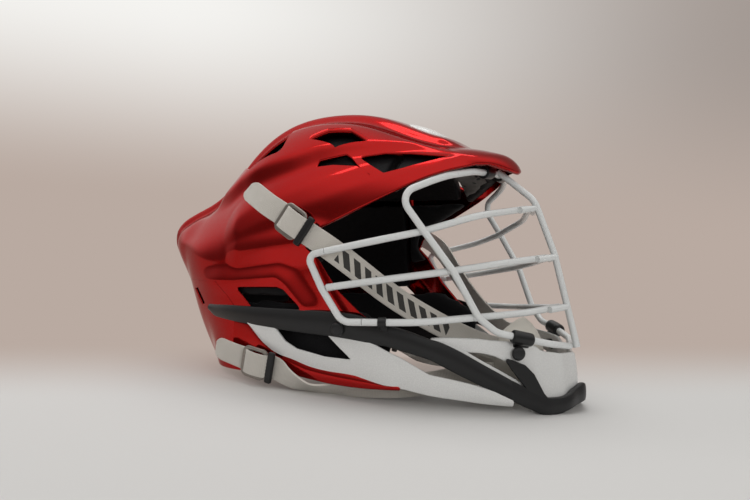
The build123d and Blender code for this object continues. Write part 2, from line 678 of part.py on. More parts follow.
def buckle(name, plane, tail_shares, tail_outs):
    write_pair(f"{name}_ring", ring(plane))
    write_pair(f"{name}_lock", lock(plane))
    write_pair(f"{name}_socket", socket(plane))
    under = ring_lift - webbing_thickness - fit_gap / 2
    fold = -ring_length / 2 + ring_bar + webbing_thickness
    points = [plane.from_local_coords(Vector(x, 0, under)) for x in (fold, -ring_length / 2 - ring_bar / 2)]
    points += cage_points(tail_shares)
    outs = [plane.z_dir, plane.z_dir] + list(tail_outs)
    write_pair(f"{name}_webbing", wrap(plane, under) + webbing(points, outs))


def lead(plane, lead_shares, lead_outs):
    starts = (socket_radius + 2 * fit_gap, ring_length / 2 + lock_depth)
    points = [plane.from_local_coords(Vector(x, 0, fit_gap)) for x in starts] + cage_points(lead_shares)
    return webbing(points, [plane.z_dir, plane.z_dir] + list(lead_outs))


cup_center_shares = (0.3548, 0, 0.1751)
cup_radii_shares = (0.0733, 0.3333, 0.1336)
cup_tilt = 20


def cup(grow):
    radii = at(*cup_radii_shares) + Vector(grow, grow, grow)
    ball = scale(Sphere(1), by=(radii.X, radii.Y, radii.Z))
    return Pos(*at(*cup_center_shares)) * Rot(0, -cup_tilt, 0) * ball


def cup_mouth():
    radii = at(*cup_radii_shares)
    size = 3 * radii.Y
    return Pos(*at(*cup_center_shares)) * Rot(0, -cup_tilt - 30, 0) * Pos(0, 0, size / 2 + radii.Z / 4) * Box(size, size, size)


def chin_cup():
    hard = cup(0) - cup(-cup_wall) - cup_mouth()
    pad = cup(-cup_wall - seat_gap) - cup(-cup_wall - seat_gap - cup_pad_thickness) - cup_mouth()
    write("chin_cup", one_solid(hard))
    write("chin_cup_pad", one_solid(pad))


def jaw(chin_seat, side_seat):
    shank_room = Cylinder(screw_shank_radius + fit_gap / 4, 4 * screw_length)
    clip_room = both_sides(sleeve(cage_points(chin_clip_shares), wire_diameter / 2 + clip_wall + seat_gap, 1.2))
    trim = strip(side_trim_shares, trim_wall, trim_proud) - side_seat * shank_room
    guard = strip(jaw_guard_shares, guard_wall)
    for window in (guard_vent_shares, guard_window_shares):
        guard -= side_prism(window)
    lip = strip(chin_trim_shares, trim_wall, trim_proud, whole=True)
    lip -= floor()
    face = strip(chin_guard_shares, chin_wall, 0, whole=True, lean_share=chin_lean_share)
    for cut in both_sides(chin_seat * shank_room):
        face -= cut
        lip -= cut
    for cut in clip_room:
        face -= cut
    write_pair("side_trim", one_solid(trim))
    write_pair("jaw_guard", one_solid(guard))
    write("chin_trim", one_solid(lip))
    write("chin_guard", one_solid(face))


def main():
    os.makedirs("parts", exist_ok=True)
    room = strip(side_trim_shares, trim_wall + seat_gap + overrun / 4, trim_proud + overrun / 4)
    room = [Pos(0, 0, dz) * solid for solid in both_sides(room) for dz in (-seat_gap, seat_gap)]
    outer, rear = shells(room)
    write("outer_shell", outer)
    write("rear_shell", rear)
    write("front_badge", badge())
    cage()
    chin_seat = screw_seat(chin_screw_shares, plan_out(*chin_screw_shares[:2], chin_center_share), clip_wall + seat_gap)
    side_seat = screw_seat(trim_screw_shares, Vector(0, -1, 0), trim_proud + clip_wall)
    jaw(chin_seat, side_seat)
    write("chin_screws", *both_sides(screw(chin_seat)))
    write("side_screws", *both_sides(screw(side_seat)))
    write_pair("chin_clip", clip(cage_points(chin_clip_shares), chin_seat))
    write_pair("side_clip", clip(cage_points(side_clip_shares), side_seat, wire_diameter / 2 + clip_wall))
    write("visor_clips", *both_sides(visor_clip()))
    liners()
    write_pair("jaw_pad", cushion(jaw_pad_shares, jaw_pad_inset, jaw_pad_wall))
    buckle("upper", upper_seat, upper_tail_shares, upper_tail_outs)
    buckle("lower", lower_seat, lower_tail_shares, lower_tail_outs)
    write_pair("upper_strap", lead(upper_seat, upper_lead_shares, upper_lead_outs))
    write_pair("lower_strap", lead(lower_seat, lower_lead_shares, lower_lead_outs))
    write("snap_studs", *both_sides(stud(upper_seat)), *both_sides(stud(lower_seat)))
    chin_cup()


main()
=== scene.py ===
import json
import math

import bmesh
import bpy
import numpy as np
from mathutils import Matrix, Vector
from mathutils.bvhtree import BVHTree


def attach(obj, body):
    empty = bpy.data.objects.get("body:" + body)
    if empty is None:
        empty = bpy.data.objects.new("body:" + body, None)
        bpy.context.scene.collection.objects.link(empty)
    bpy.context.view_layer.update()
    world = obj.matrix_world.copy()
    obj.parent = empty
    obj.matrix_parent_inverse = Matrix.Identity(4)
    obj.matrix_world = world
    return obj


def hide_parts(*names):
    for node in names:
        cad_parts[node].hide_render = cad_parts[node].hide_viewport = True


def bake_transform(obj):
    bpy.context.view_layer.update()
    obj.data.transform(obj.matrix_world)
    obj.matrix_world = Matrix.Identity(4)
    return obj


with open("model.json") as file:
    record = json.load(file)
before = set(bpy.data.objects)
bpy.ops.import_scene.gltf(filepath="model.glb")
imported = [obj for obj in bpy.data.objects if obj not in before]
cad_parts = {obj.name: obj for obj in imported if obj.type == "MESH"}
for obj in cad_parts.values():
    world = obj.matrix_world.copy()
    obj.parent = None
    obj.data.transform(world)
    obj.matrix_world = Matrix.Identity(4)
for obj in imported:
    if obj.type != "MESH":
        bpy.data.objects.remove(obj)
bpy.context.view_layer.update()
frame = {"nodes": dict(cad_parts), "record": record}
scene = bpy.context.scene
cadNodes = frame["nodes"]
print("frame loaded:", len(cadNodes), "nodes")

# Everything is laid out level in millimetres, +X to the front and -Y to the wearer's right,
# and then tipped back onto the chin trim and the rear rim, as the frame is.
restSet = {"pivotX": 160.5, "shiftX": -0.8, "drop": 27.0, "run": 288.5}
restMatrix = (Matrix.Translation(((restSet["pivotX"] + restSet["shiftX"]) / 1000, 0, 0))
              @ Matrix.Rotation(-math.atan2(restSet["drop"], restSet["run"]), 4, "Y")
              @ Matrix.Translation((-restSet["pivotX"] / 1000, 0, 0)))
restTurn = np.array(restMatrix)[:3, :3]
restShift = np.array(restMatrix)[:3, 3]
otherSide = np.array((1, -1, 1))
sides = (("right", False), ("left", True))  # the left side mirrors the right


def toRest(points):
    return np.asarray(points, float) / 1000 @ restTurn.T + restShift


def toLevel(points):
    return (np.asarray(points, float) / 1000 - restShift) @ restTurn * 1000


def unit(vectors):
    vectors = np.asarray(vectors, float)
    return vectors / np.maximum(np.linalg.norm(vectors, axis=-1, keepdims=True), 1e-9)


def runLengths(points):
    # how far along a row of points each one lies
    return np.concatenate([[0], np.cumsum(np.linalg.norm(np.diff(points, axis=0), axis=1))])


def smoothCurve(knots, values, places):
    # natural cubic through a row of values per knot
    knots, places = np.asarray(knots, float), np.asarray(places, float)
    values = np.asarray(values, float).reshape(len(knots), -1)
    n, h = len(knots), np.diff(knots)
    a, rhs = np.eye(n), np.zeros_like(values)
    for i in range(1, n - 1):
        a[i, i - 1:i + 2] = h[i - 1], 2 * (h[i - 1] + h[i]), h[i]
        rhs[i] = 6 * ((values[i + 1] - values[i]) / h[i] - (values[i] - values[i - 1]) / h[i - 1])
    m = np.linalg.solve(a, rhs)
    k = np.clip(np.searchsorted(knots, places, side="right") - 1, 0, n - 2)
    t, hk = (places - knots[k])[:, None], h[k][:, None]
    slope = (values[k + 1] - values[k]) / hk - hk * (2 * m[k] + m[k + 1]) / 6
    return values[k] + slope * t + m[k] / 2 * t ** 2 + (m[k + 1] - m[k]) / (6 * hk) * t ** 3


def steadyCurve(knots, values, places):
    # cubic without overshoot, for outlines with corners in them
    knots, places = np.asarray(knots, float), np.asarray(places, float)
    values = np.asarray(values, float).reshape(len(knots), -1)
    h = np.diff(knots)[:, None]
    delta = np.diff(values, axis=0) / h
    slope = np.zeros_like(values)
    slope[0], slope[-1] = delta[0], delta[-1]
    same = delta[:-1] * delta[1:] > 0
    mean = 2 * delta[:-1] * delta[1:] / np.where(same, delta[:-1] + delta[1:], 1)
    slope[1:-1] = np.where(same, mean, 0)
    k = np.clip(np.searchsorted(knots, places, side="right") - 1, 0, len(knots) - 2)
    t = ((places - knots[k]) / h[k, 0])[:, None]
    return (values[k] * (2 * t ** 3 - 3 * t ** 2 + 1) + values[k + 1] * (3 * t ** 2 - 2 * t ** 3)
            + h[k] * (slope[k] * (t ** 3 - 2 * t ** 2 + t) + slope[k + 1] * (t ** 3 - t ** 2)))


def step(x):
    x = np.clip(x, 0, 1)
    return x * x * (3 - 2 * x)


def lineDistance(line, points):
    line, points = np.asarray(line, float), np.asarray(points, float)
    best = np.full(len(points), 1e9)
    for p, q in zip(line[:-1], line[1:]):
        d = q - p
        t = np.clip(((points - p) @ d) / (d @ d), 0, 1)
        best = np.minimum(best, np.linalg.norm(points - p - t[:, None] * d, axis=1))
    return best


def outlineDistance(outline, points):
    # distance to a closed outline, positive inside it
    outline, points = np.asarray(outline, float), np.asarray(points, float)
    best = lineDistance(np.vstack([outline, outline[:1]]), points)
    inside = np.zeros(len(points), bool)
    for p, q in zip(outline, np.roll(outline, -1, axis=0)):
        if p[1] != q[1]:
            crosses = (p[1] > points[:, 1]) != (q[1] > points[:, 1])
            inside ^= crosses & (points[:, 0] < (q[0] - p[0]) * (points[:, 1] - p[1]) / (q[1] - p[1]) + p[0])
    return np.where(inside, best, -best)


roundSet = {"steps": 4, "leastTurn": 0.15, "leastCut": 0.2, "share": 0.4}


def roundOutline(outline, radius):
    s = roundSet
    outline = [np.array(p, float) for p in outline]
    rounded = []
    for before, here, after in zip([outline[-1]] + outline[:-1], outline, outline[1:] + [outline[0]]):
        a, b = before - here, after - here
        la, lb = np.linalg.norm(a), np.linalg.norm(b)
        turn = math.pi - math.acos(max(-1, min(1, a @ b / (la * lb))))
        back = min(radius * math.tan(turn / 2), la * s["share"], lb * s["share"])
        if turn < s["leastTurn"] or back < s["leastCut"]:
            rounded.append(tuple(here))
            continue
        start, end = here + a / la * back, here + b / lb * back
        for t in np.linspace(0, 1, s["steps"] + 1):
            rounded.append(tuple((1 - t) ** 2 * start + 2 * t * (1 - t) * here + t * t * end))
    return rounded


viewAxes = {"side": (0, 2), "top": (0, 1)}
cutSet = {"band": 6, "close": 4.5, "weld": 0.01}  # how near an outline faces are cut


def cutOutline(bm, outline, view, where, keep=False, corner=0):
    # cuts the faces along an outline seen from the side or from above, then deletes what
    # lies inside it, or outside it where keep is set
    i, j = viewAxes[view]
    outline = np.asarray(roundOutline(outline, corner) if corner else outline, float)
    centres = np.array([f.calc_center_median() for f in bm.faces])
    near = (np.abs(outlineDistance(outline, centres[:, (i, j)])) < cutSet["band"]) & where(centres)
    bm.faces.ensure_lookup_table()
    band = [bm.faces[k] for k in np.nonzero(near)[0]]
    for p, q in zip(outline, np.roll(outline, -1, axis=0)):
        live = [f for f in band if f.is_valid]
        if not live:
            break
        c = np.array([f.calc_center_median() for f in live])[:, (i, j)]
        close = lineDistance([p, q], c) < cutSet["close"]
        part = [f for f, ok in zip(live, close) if ok]
        if not part:
            continue
        normal, origin = [0.0] * 3, [0.0] * 3
        normal[i], normal[j] = p[1] - q[1], q[0] - p[0]
        origin[i], origin[j] = p
        geom = list({g for f in part for g in (f, *f.edges, *f.verts)})
        done = bmesh.ops.bisect_plane(bm, geom=geom, dist=cutSet["weld"], plane_co=origin, plane_no=normal)
        known = set(live)
        band = live + [g for g in done["geom"] if isinstance(g, bmesh.types.BMFace) and g not in known]
    centres = np.array([f.calc_center_median() for f in bm.faces])
    gone = (outlineDistance(outline, centres[:, (i, j)]) > 0) != keep
    if not keep:
        gone &= where(centres)
    bm.faces.ensure_lookup_table()
    bmesh.ops.delete(bm, geom=[bm.faces[k] for k in np.nonzero(gone)[0]], context="FACES")


def gridMesh(outer, inner, normals, closed=False):
    # a grid of points as a bmesh whose vertices know their normal and the point behind them
    bm = bmesh.new()
    normalLayer = bm.verts.layers.float_vector.new("outward")
    innerLayer = bm.verts.layers.float_vector.new("behind")
    rows, columns = outer.shape[:2]
    verts = []
    for p, q, n in zip(outer.reshape(-1, 3), inner.reshape(-1, 3), normals.reshape(-1, 3)):
        v = bm.verts.new(p)
        v[normalLayer], v[innerLayer] = n, q
        verts.append(v)
    for r in range(rows - 1):
        for c in range(columns if closed else columns - 1):
            d = (c + 1) % columns
            low, high = r * columns, (r + 1) * columns
            bm.faces.new([verts[low + c], verts[low + d], verts[high + d], verts[high + c]])
    return bm


def gridNormals(points, closed=False):
    along = np.gradient(points, axis=0)
    if closed:
        across = (np.roll(points, -1, axis=1) - np.roll(points, 1, axis=1)) / 2
    else:
        across = np.gradient(points, axis=1)
    return unit(np.cross(across, along))


rimSet = {"steps": (0.0, 0.12, 0.35, 0.65, 0.88, 1.0), "fullness": 0.6}


def closePanel(bm, roundness):
    # outer faces, the faces behind them, and a rounded rim along every open edge
    normalLayer = bm.verts.layers.float_vector["outward"]
    innerLayer = bm.verts.layers.float_vector["behind"]
    bmesh.ops.delete(bm, geom=[v for v in bm.verts if not v.link_faces], context="VERTS")
    bm.verts.index_update()
    outer = np.array([v.co for v in bm.verts])
    inner = np.array([v[innerLayer] for v in bm.verts])
    normals = unit(np.array([v[normalLayer] for v in bm.verts]))
    count = len(outer)
    verts, faces, loopNormals = [*outer, *inner], [], []
    edges = []
    for f in bm.faces:
        ring = [v.index for v in f.verts]
        faces.append(ring)
        loopNormals += [normals[k] for k in ring]
        faces.append([k + count for k in reversed(ring)])
        loopNormals += [-normals[k] for k in reversed(ring)]
        edges += [(l.vert.index, l.link_loop_next.vert.index) for l in f.loops if len(l.edge.link_faces) == 1]
    outward = {}
    for a, b in edges:
        run = unit(outer[b] - outer[a])
        for k in (a, b):
            outward[k] = outward.get(k, 0) + np.cross(run, normals[k])
    rims, directions = {}, {}
    for k, out in outward.items():
        out = unit(out)
        wall = np.linalg.norm(inner[k] - outer[k])
        ids, ways = [k], [normals[k]]
        for s in rimSet["steps"][1:-1]:
            bulge = math.sin(math.pi * s) ** rimSet["fullness"] * wall * roundness
            ids.append(len(verts))
            verts.append(outer[k] * (1 - s) + inner[k] * s + out * bulge)
            ways.append(unit(out * math.sin(math.pi * s) + normals[k] * math.cos(math.pi * s)))
        rims[k] = ids + [k + count]
        directions[k] = ways + [-normals[k]]
    for a, b in edges:
        for s in range(len(rimSet["steps"]) - 1):
            faces.append([rims[b][s], rims[a][s], rims[a][s + 1], rims[b][s + 1]])
            loopNormals += [directions[b][s], directions[a][s], directions[a][s + 1], directions[b][s + 1]]
    bm.free()
    return np.array(verts), faces, np.array(loopNormals)


sharpAngle = 50


def addPiece(name, parts, body, material, replaces=(), mirrored=False, uvs=None):
    # makes an object from points in level millimetres and puts it on its body
    verts, faces, *loopNormals = parts
    loopNormals = loopNormals[0] if loopNormals else None
    if mirrored:
        verts = verts * otherSide
        starts = np.cumsum([0] + [len(f) for f in faces])
        order = [k for s, f in zip(starts, faces) for k in range(s + len(f) - 1, s - 1, -1)]
        faces = [list(reversed(f)) for f in faces]
        if loopNormals is not None:
            loopNormals = loopNormals[order] * otherSide
        if uvs is not None:
            uvs = uvs[order]
    mesh = bpy.data.meshes.new(name)
    mesh.from_pydata(toRest(verts).tolist(), [], faces)
    mesh.polygons.foreach_set("use_smooth", [True] * len(mesh.polygons))
    if uvs is not None:
        layer = mesh.uv_layers.new(name="UVMap")
        layer.data.foreach_set("uv", np.asarray(uvs, np.float32).ravel())
    if loopNormals is not None:
        mesh.normals_split_custom_set((loopNormals @ restTurn.T).tolist())
    else:
        mesh.set_sharp_from_angle(angle=math.radians(sharpAngle))
    mesh.update()
    obj = bpy.data.objects.new(name, mesh)
    scene.collection.objects.link(obj)
    obj.data.materials.append(material)
    if body:
        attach(obj, body)
    if replaces:
        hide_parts(*replaces)
    return obj


def toLinear(hexColour):
    channels = [int(hexColour[k:k + 2], 16) / 255 for k in (1, 3, 5)]
    return (*[c / 12.92 if c <= 0.04045 else ((c + 0.055) / 1.055) ** 2.4 for c in channels], 1.0)


def feed(tree, node, values):
    # sets a node's inputs, each from a number, a hex colour or another node's socket
    for key, value in values.items():
        if isinstance(value, bpy.types.NodeSocket):
            tree.links.new(value, node.inputs[key])
        else:
            node.inputs[key].default_value = toLinear(value) if isinstance(value, str) else value


def addNode(tree, kind, values=None, **settings):
    node = tree.nodes.new("ShaderNode" + kind)
    for key, value in settings.items():
        setattr(node, key, value)
    feed(tree, node, values or {})
    return node


def maths(tree, operation, *values):
    return addNode(tree, "Math", dict(enumerate(values)), operation=operation).outputs[0]


def mixed(tree, factor, a, b, blend="MIX"):
    values = {"Factor": factor, "A": a, "B": b}
    return addNode(tree, "Mix", values, data_type="RGBA", blend_type=blend).outputs[2]


def ranged(tree, value, start, end, low=0.0, high=1.0, way="LINEAR"):
    values = {"Value": value, "From Min": start, "From Max": end, "To Min": low, "To Max": high}
    return addNode(tree, "MapRange", values, interpolation_type=way).outputs["Result"]


def clouds(tree, where, size, detail):
    return addNode(tree, "TexNoise", {"Vector": where, "Scale": 1000 / size, "Detail": detail}).outputs["Fac"]


def cells(tree, where, size, randomness=1.0):
    values = {"Vector": where, "Scale": 1000 / size, "Randomness": randomness}
    return addNode(tree, "TexVoronoi", values).outputs["Distance"]


def relief(tree, height, strength, depth, invert=False):
    values = {"Height": height, "Strength": strength, "Distance": depth / 1000}
    return addNode(tree, "Bump", values, invert=invert).outputs["Normal"]


def coordinates(tree, kind):
    return addNode(tree, "TexCoord").outputs[kind]


def separated(tree, vector):
    return addNode(tree, "SeparateXYZ", {"Vector": vector}).outputs


def newMaterial(name):
    material = bpy.data.materials.new(name)
    material.use_nodes = True
    tree = material.node_tree
    tree.nodes.clear()
    shader = addNode(tree, "BsdfPrincipled")
    addNode(tree, "OutputMaterial", {"Surface": shader.outputs["BSDF"]}, name="output")
    return material, tree, shader


# shell: ABS, vacuum metallised and sealed with a tinted clear coat. Mirror-like red with a
# hard clear highlight on top of the coloured one, and a very slight moulding ripple.
shellFinish = {"colour": "#c41512", "deep": "#b0100e", "edge": "#c87470", "roughness": 0.14,
               "rippleSize": 38.0, "ripple": 0.06, "dustSize": 1.6, "dust": 0.05, "dustSpan": (0.35, 0.75),
               "coat": 0.35, "coatRoughness": 0.05}


def metallisedAbs():
    s = shellFinish
    material, tree, shader = newMaterial("metallisedAbs")
    where = coordinates(tree, "Object")
    ripple = clouds(tree, where, s["rippleSize"], 1.5)
    dust = clouds(tree, where, s["dustSize"], 3.0)
    low, high = s["roughness"] - s["dust"] / 2, s["roughness"] + s["dust"]
    feed(tree, shader, {
        "Base Color": mixed(tree, ripple, s["colour"], s["deep"]), "Metallic": 1.0,
        "Roughness": ranged(tree, dust, *s["dustSpan"], low, high), "Specular Tint": s["edge"],
        "Normal": relief(tree, ripple, 1.0, s["ripple"]), "Coat Weight": s["coat"],
        "Coat Roughness": s["coatRoughness"], "Coat IOR": 1.5})
    return material


plasticFinish = {"cloud": 45.0, "grainSpan": (0.3, 0.7), "smoothest": 0.85, "roughest": 1.2,
                 "coatRoughness": 0.08}


def plastic(name, colour, shade, roughness, grainSize, grain, coat=0.0, ior=1.5):
    # moulded plastic or paint: two close tones in soft clouds and a fine grain in the surface
    s = plasticFinish
    material, tree, shader = newMaterial(name)
    where = coordinates(tree, "Object")
    fine = clouds(tree, where, grainSize, 2.0)
    low, high = roughness * s["smoothest"], roughness * s["roughest"]
    feed(tree, shader, {
        "Base Color": mixed(tree, clouds(tree, where, s["cloud"], 4.0), colour, shade), "IOR": ior,
        "Roughness": ranged(tree, fine, *s["grainSpan"], low, high), "Normal": relief(tree, fine, 1.0, grain),
        "Coat Weight": coat, "Coat Roughness": s["coatRoughness"]})
    return material


# webbing: polyester, plain woven with a ribbed weft, cream. Matte, with a faint sheen from the
# filament yarn, and slanted dashes printed along the upper leads, in mm from their snaps. The
# weave's low valleys are darkened in the colour, as painted shade.
webbingFinish = {"colour": "#e0dbd2", "shade": "#d0cac0", "cloud": 14.0, "rib": 1.1, "thread": 0.55,
                 "ribHeight": 0.16, "paintedValleyShade": 0.86, "roughness": 0.72, "sheen": 0.25, "ink": "#0c0c0c",
                 "inkWeight": 0.94, "dashPitch": 9.5, "dashShare": 0.6, "dashSlant": 0.9,
                 "dashHalf": 4.6, "printFrom": 34.0, "printTo": 128.0}


def polyesterWebbing(name, printed=False):
    s = webbingFinish
    material, tree, shader = newMaterial(name)
    along, across, _ = separated(tree, coordinates(tree, "UV"))
    ribs = maths(tree, "SINE", maths(tree, "MULTIPLY", along, 2000 * math.pi / s["rib"]))
    threads = maths(tree, "SINE", maths(tree, "MULTIPLY", across, 2000 * math.pi / s["thread"]))
    weave = maths(tree, "MULTIPLY_ADD", ribs, 0.6, threads)
    tones = mixed(tree, clouds(tree, coordinates(tree, "Object"), s["cloud"], 5.0), s["colour"], s["shade"])
    # painted shade: the colour is darkened where the weave lies lowest, down to this share of it
    colour = mixed(tree, 1.0, tones, ranged(tree, weave, -1.6, 0.6, s["paintedValleyShade"], 1.0), "MULTIPLY")
    if printed:
        slant = maths(tree, "MULTIPLY_ADD", across, s["dashSlant"], along)
        turns = maths(tree, "FRACT", maths(tree, "MULTIPLY", slant, 1000 / s["dashPitch"]))
        mask = maths(tree, "LESS_THAN", turns, s["dashShare"])
        width = maths(tree, "ABSOLUTE", across)
        for operation, place, limit in (("LESS_THAN", width, s["dashHalf"]),
                                        ("GREATER_THAN", along, s["printFrom"]),
                                        ("LESS_THAN", along, s["printTo"])):
            mask = maths(tree, "MULTIPLY", mask, maths(tree, operation, place, limit / 1000))
        colour = mixed(tree, maths(tree, "MULTIPLY", mask, s["inkWeight"]), colour, s["ink"])
    feed(tree, shader, {"Base Color": colour, "Normal": relief(tree, weave, 0.7, s["ribHeight"]),
                        "Roughness": s["roughness"], "Sheen Weight": s["sheen"]})
    return material


# pads: knitted polyester over foam. Dull, with a fine diamond knit and a soft sheen.
padFinish = {"turn": (0.6, 0.78, 0.4), "cloud": 22.0, "knitHeight": 0.3, "roughness": 0.85,
             "sheen": 0.06, "specular": 0.2, "fleckStretch": (1.0, 0.45, 1.0)}


def knitFabric(name, colour, shade, knit, flecks=None):
    s = padFinish
    material, tree, shader = newMaterial(name)
    where = coordinates(tree, "Object")
    slanted = addNode(tree, "Mapping", {"Vector": where, "Rotation": s["turn"]}).outputs["Vector"]
    colourOut = mixed(tree, clouds(tree, where, s["cloud"], 4.0), colour, shade)
    if flecks:
        stretched = addNode(tree, "Mapping", {"Vector": where, "Scale": s["fleckStretch"]}).outputs["Vector"]
        spots = maths(tree, "LESS_THAN", cells(tree, stretched, flecks["spacing"], 0.8), flecks["size"])
        colourOut = mixed(tree, spots, colourOut, flecks["colour"])
    feed(tree, shader, {
        "Base Color": colourOut, "Roughness": s["roughness"], "Sheen Weight": s["sheen"],
        "Normal": relief(tree, cells(tree, slanted, knit, 0.25), 0.8, s["knitHeight"], True),
        "Specular IOR Level": s["specular"]})
    return material


# liner: expanded polypropylene, steam moulded. Near black, with the closed bead pattern of its skin.
linerFinish = {"colour": "#0f0f11", "shade": "#08080a", "bead": 3.2, "beadHeight": 0.35,
               "roughness": 0.62, "specular": 0.18}


def beadFoam():
    s = linerFinish
    material, tree, shader = newMaterial("beadFoam")
    beads = cells(tree, coordinates(tree, "Object"), s["bead"])
    feed(tree, shader, {
        "Base Color": mixed(tree, beads, s["colour"], s["shade"]), "Roughness": s["roughness"],
        "Normal": relief(tree, beads, 0.6, s["beadHeight"], True), "Specular IOR Level": s["specular"]})
    return material


# buckles and snaps: steel, nickel plated and barrelled. Grey, with soft drawn streaks.
steelFinish = {"colour": "#a8a29b", "shade": "#85807a", "streak": 0.9, "drawn": 8.0,
               "streakSpan": (0.3, 0.7), "smoothest": 0.27, "roughest": 0.43, "streakHeight": 0.04}


def nickelSteel():
    s = steelFinish
    material, tree, shader = newMaterial("nickelSteel")
    values = {"Vector": coordinates(tree, "Object"), "Scale": (1.0, 1.0, s["drawn"])}
    drawn = addNode(tree, "Mapping", values).outputs["Vector"]
    streaks = clouds(tree, drawn, s["streak"] * s["drawn"], 4.0)
    feed(tree, shader, {
        "Base Color": mixed(tree, streaks, s["colour"], s["shade"]), "Metallic": 1.0,
        "Roughness": ranged(tree, streaks, *s["streakSpan"], s["smoothest"], s["roughest"]),
        "Normal": relief(tree, streaks, 0.4, s["streakHeight"])})
    return material


shellMaterial = metallisedAbs()
# trim: glass-filled nylon, moulded on a sparked tool. Satin black with a fine even grain.
trimMaterial = plastic("glassFilledNylon", "#131416", "#0f1011", 0.4, 0.5, 0.02)
# guards: impact polycarbonate, moulded glossy. Slightly cold white, smooth, soft clear highlight.
guardMaterial = plastic("impactPolycarbonate", "#d9d9d7", "#d5d5d3", 0.26, 0.6, 0.003, coat=0.3, ior=1.58)
# cage: steel wire, powder coated white. Semi-gloss with the slight orange peel of cured powder.
cageMaterial = plastic("powderCoatedWire", "#dcdedd", "#d4d6d5", 0.3, 2.2, 0.02, coat=0.3)
# clips and locks: acetal, moulded black. Waxy satin, a little brighter on the edges.
clipMaterial = plastic("blackAcetal", "#111214", "#0c0d0e", 0.36, 0.9, 0.02)
# screws: steel, black oxide. Dark grey with a dry satin sheen.
screwMaterial = plastic("blackOxideSteel", "#1d1e20", "#151618", 0.38, 0.7, 0.03)
# chin cup: thermoplastic rubber over a nylon bowl, cream. Soft matte.
cupMaterial = plastic("creamRubber", "#dad6cc", "#ccc7bc", 0.5, 1.2, 0.04)
# badge: polycarbonate, moulded glossy. Plain white with a hard clear highlight.
badgeMaterial = plastic("whitePolycarbonate", "#e4e4e2", "#d8d8d6", 0.22, 3.0, 0.01, coat=0.4, ior=1.58)
webbingMaterial = polyesterWebbing("polyesterWebbing")
printedWebbing = polyesterWebbing("printedWebbing", printed=True)
# charcoal over most pads, flecked grey at the brow, cream in the chin cup
padMaterial = knitFabric("knittedPad", "#18181a", "#101011", 1.8)
browMaterial = knitFabric("heatherKnit", "#5b5550", "#4a4542", 1.4,
                          {"spacing": 8.0, "size": 0.2, "colour": "#151516"})
cupPadMaterial = knitFabric("creamKnit", "#b9b2a6", "#9f978b", 1.6)
foamMaterial = beadFoam()
steelMaterial = nickelSteel()
print("materials made")

slotMaterials = {"shell": shellMaterial, "badge": badgeMaterial, "trim": trimMaterial,
                 "guard": guardMaterial, "cage": cageMaterial, "clip": clipMaterial,
                 "screw": screwMaterial, "liner": foamMaterial, "pad": padMaterial,
                 "webbing": webbingMaterial, "steel": steelMaterial, "lock": clipMaterial,
                 "cup": cupMaterial}
for part in frame["record"]["subparts"]:
    node = cadNodes[part["node"]]
    node.data.materials.clear()
    node.data.materials.append(slotMaterials[part["material_slot"]])

# Camera and light. The camera is level in the helmet's own layout, so here it rolls with it.
cameraSet = {"place": (307.6, -628.9, 108.7), "yaw": 25.0, "lens": 42.62, "shiftY": 0.0047}
camera = bpy.data.objects.new("camera", bpy.data.cameras.new("camera"))
scene.collection.objects.link(camera)
scene.camera = camera
camera.data.lens = cameraSet["lens"]
camera.data.sensor_width = 36.0
camera.data.shift_y = cameraSet["shiftY"]
camera.data.clip_start, camera.data.clip_end = 0.01, 50
camera.matrix_world = (restMatrix @ Matrix.Translation(Vector(cameraSet["place"]) / 1000)
                       @ Matrix.Rotation(math.radians(cameraSet["yaw"]), 4, "Z")
                       @ Matrix.Rotation(math.pi / 2, 4, "X"))

# each softbox: where it stands and what it points at in metres, its width and depth, and watts
lamps = [
    {"name": "overheadBox", "at": (-0.2, 0.3, 1.15), "size": (1.1, 0.7), "watts": 7.2, "to": (0, 0, 0.1),
     "glossy": False},
    {"name": "stripBox", "at": (-0.15, 0.1, 1.1), "size": (1.2, 0.16), "watts": 1.2, "to": (0, 0, 0.1),
     "glossy": True},
    {"name": "leftBox", "at": (-1.05, -0.45, 0.55), "size": (0.6, 0.7), "watts": 2.4, "to": (0, 0, 0.1),
     "glossy": False},
    {"name": "frontBox", "at": (0.95, -0.95, 0.5), "size": (0.5, 0.7), "watts": 4.6, "to": (0.1, 0, 0.08),
     "glossy": False},
]
for lamp in lamps:
    data = bpy.data.lights.new(lamp["name"], "AREA")
    data.shape, data.size, data.size_y, data.energy = "RECTANGLE", *lamp["size"], lamp["watts"]
    light = bpy.data.objects.new(lamp["name"], data)
    scene.collection.objects.link(light)
    light.location = lamp["at"]
    light.visible_glossy = lamp["glossy"]
    light.rotation_euler = (Vector(lamp["to"]) - light.location).to_track_quat("-Z", "Y").to_euler()

stageSet = {"floor": "#d3d2d0", "floorRoughness": 0.9, "half": 6, "backdropLow": "#b9aaa1",
            "highLeft": "#f5f4f1", "highRight": "#a39993", "roomLow": "#6c6764", "roomHigh": "#f2efec",
            "fill": 0.44, "fillTint": "#f3f0ed", "sweepFrom": 0.165, "sweepTo": 0.098,
            "slope": 0.0936, "drop": 0.0937, "ahead": (-0.4226, 0.9063), "distance": 0.7,
            # the world's directions as shares of x and y, and where each blend starts and ends
            "rightward": (0.906, 0.423), "lateralSpan": (-0.25, 0.4), "heightSpan": (0.0, 0.22),
            "behind": (0.42, -0.906), "behindSpan": (-0.8, -0.2), "liftSpan": (0.05, 0.85)}
half = stageSet["half"]
floorMesh = bpy.data.meshes.new("floor")
floorMesh.from_pydata([(-half, -half, 0), (half, -half, 0), (half, half, 0), (-half, half, 0)], [],
                      [(0, 1, 2, 3)])
floorPiece = bpy.data.objects.new("floor", floorMesh)
scene.collection.objects.link(floorPiece)


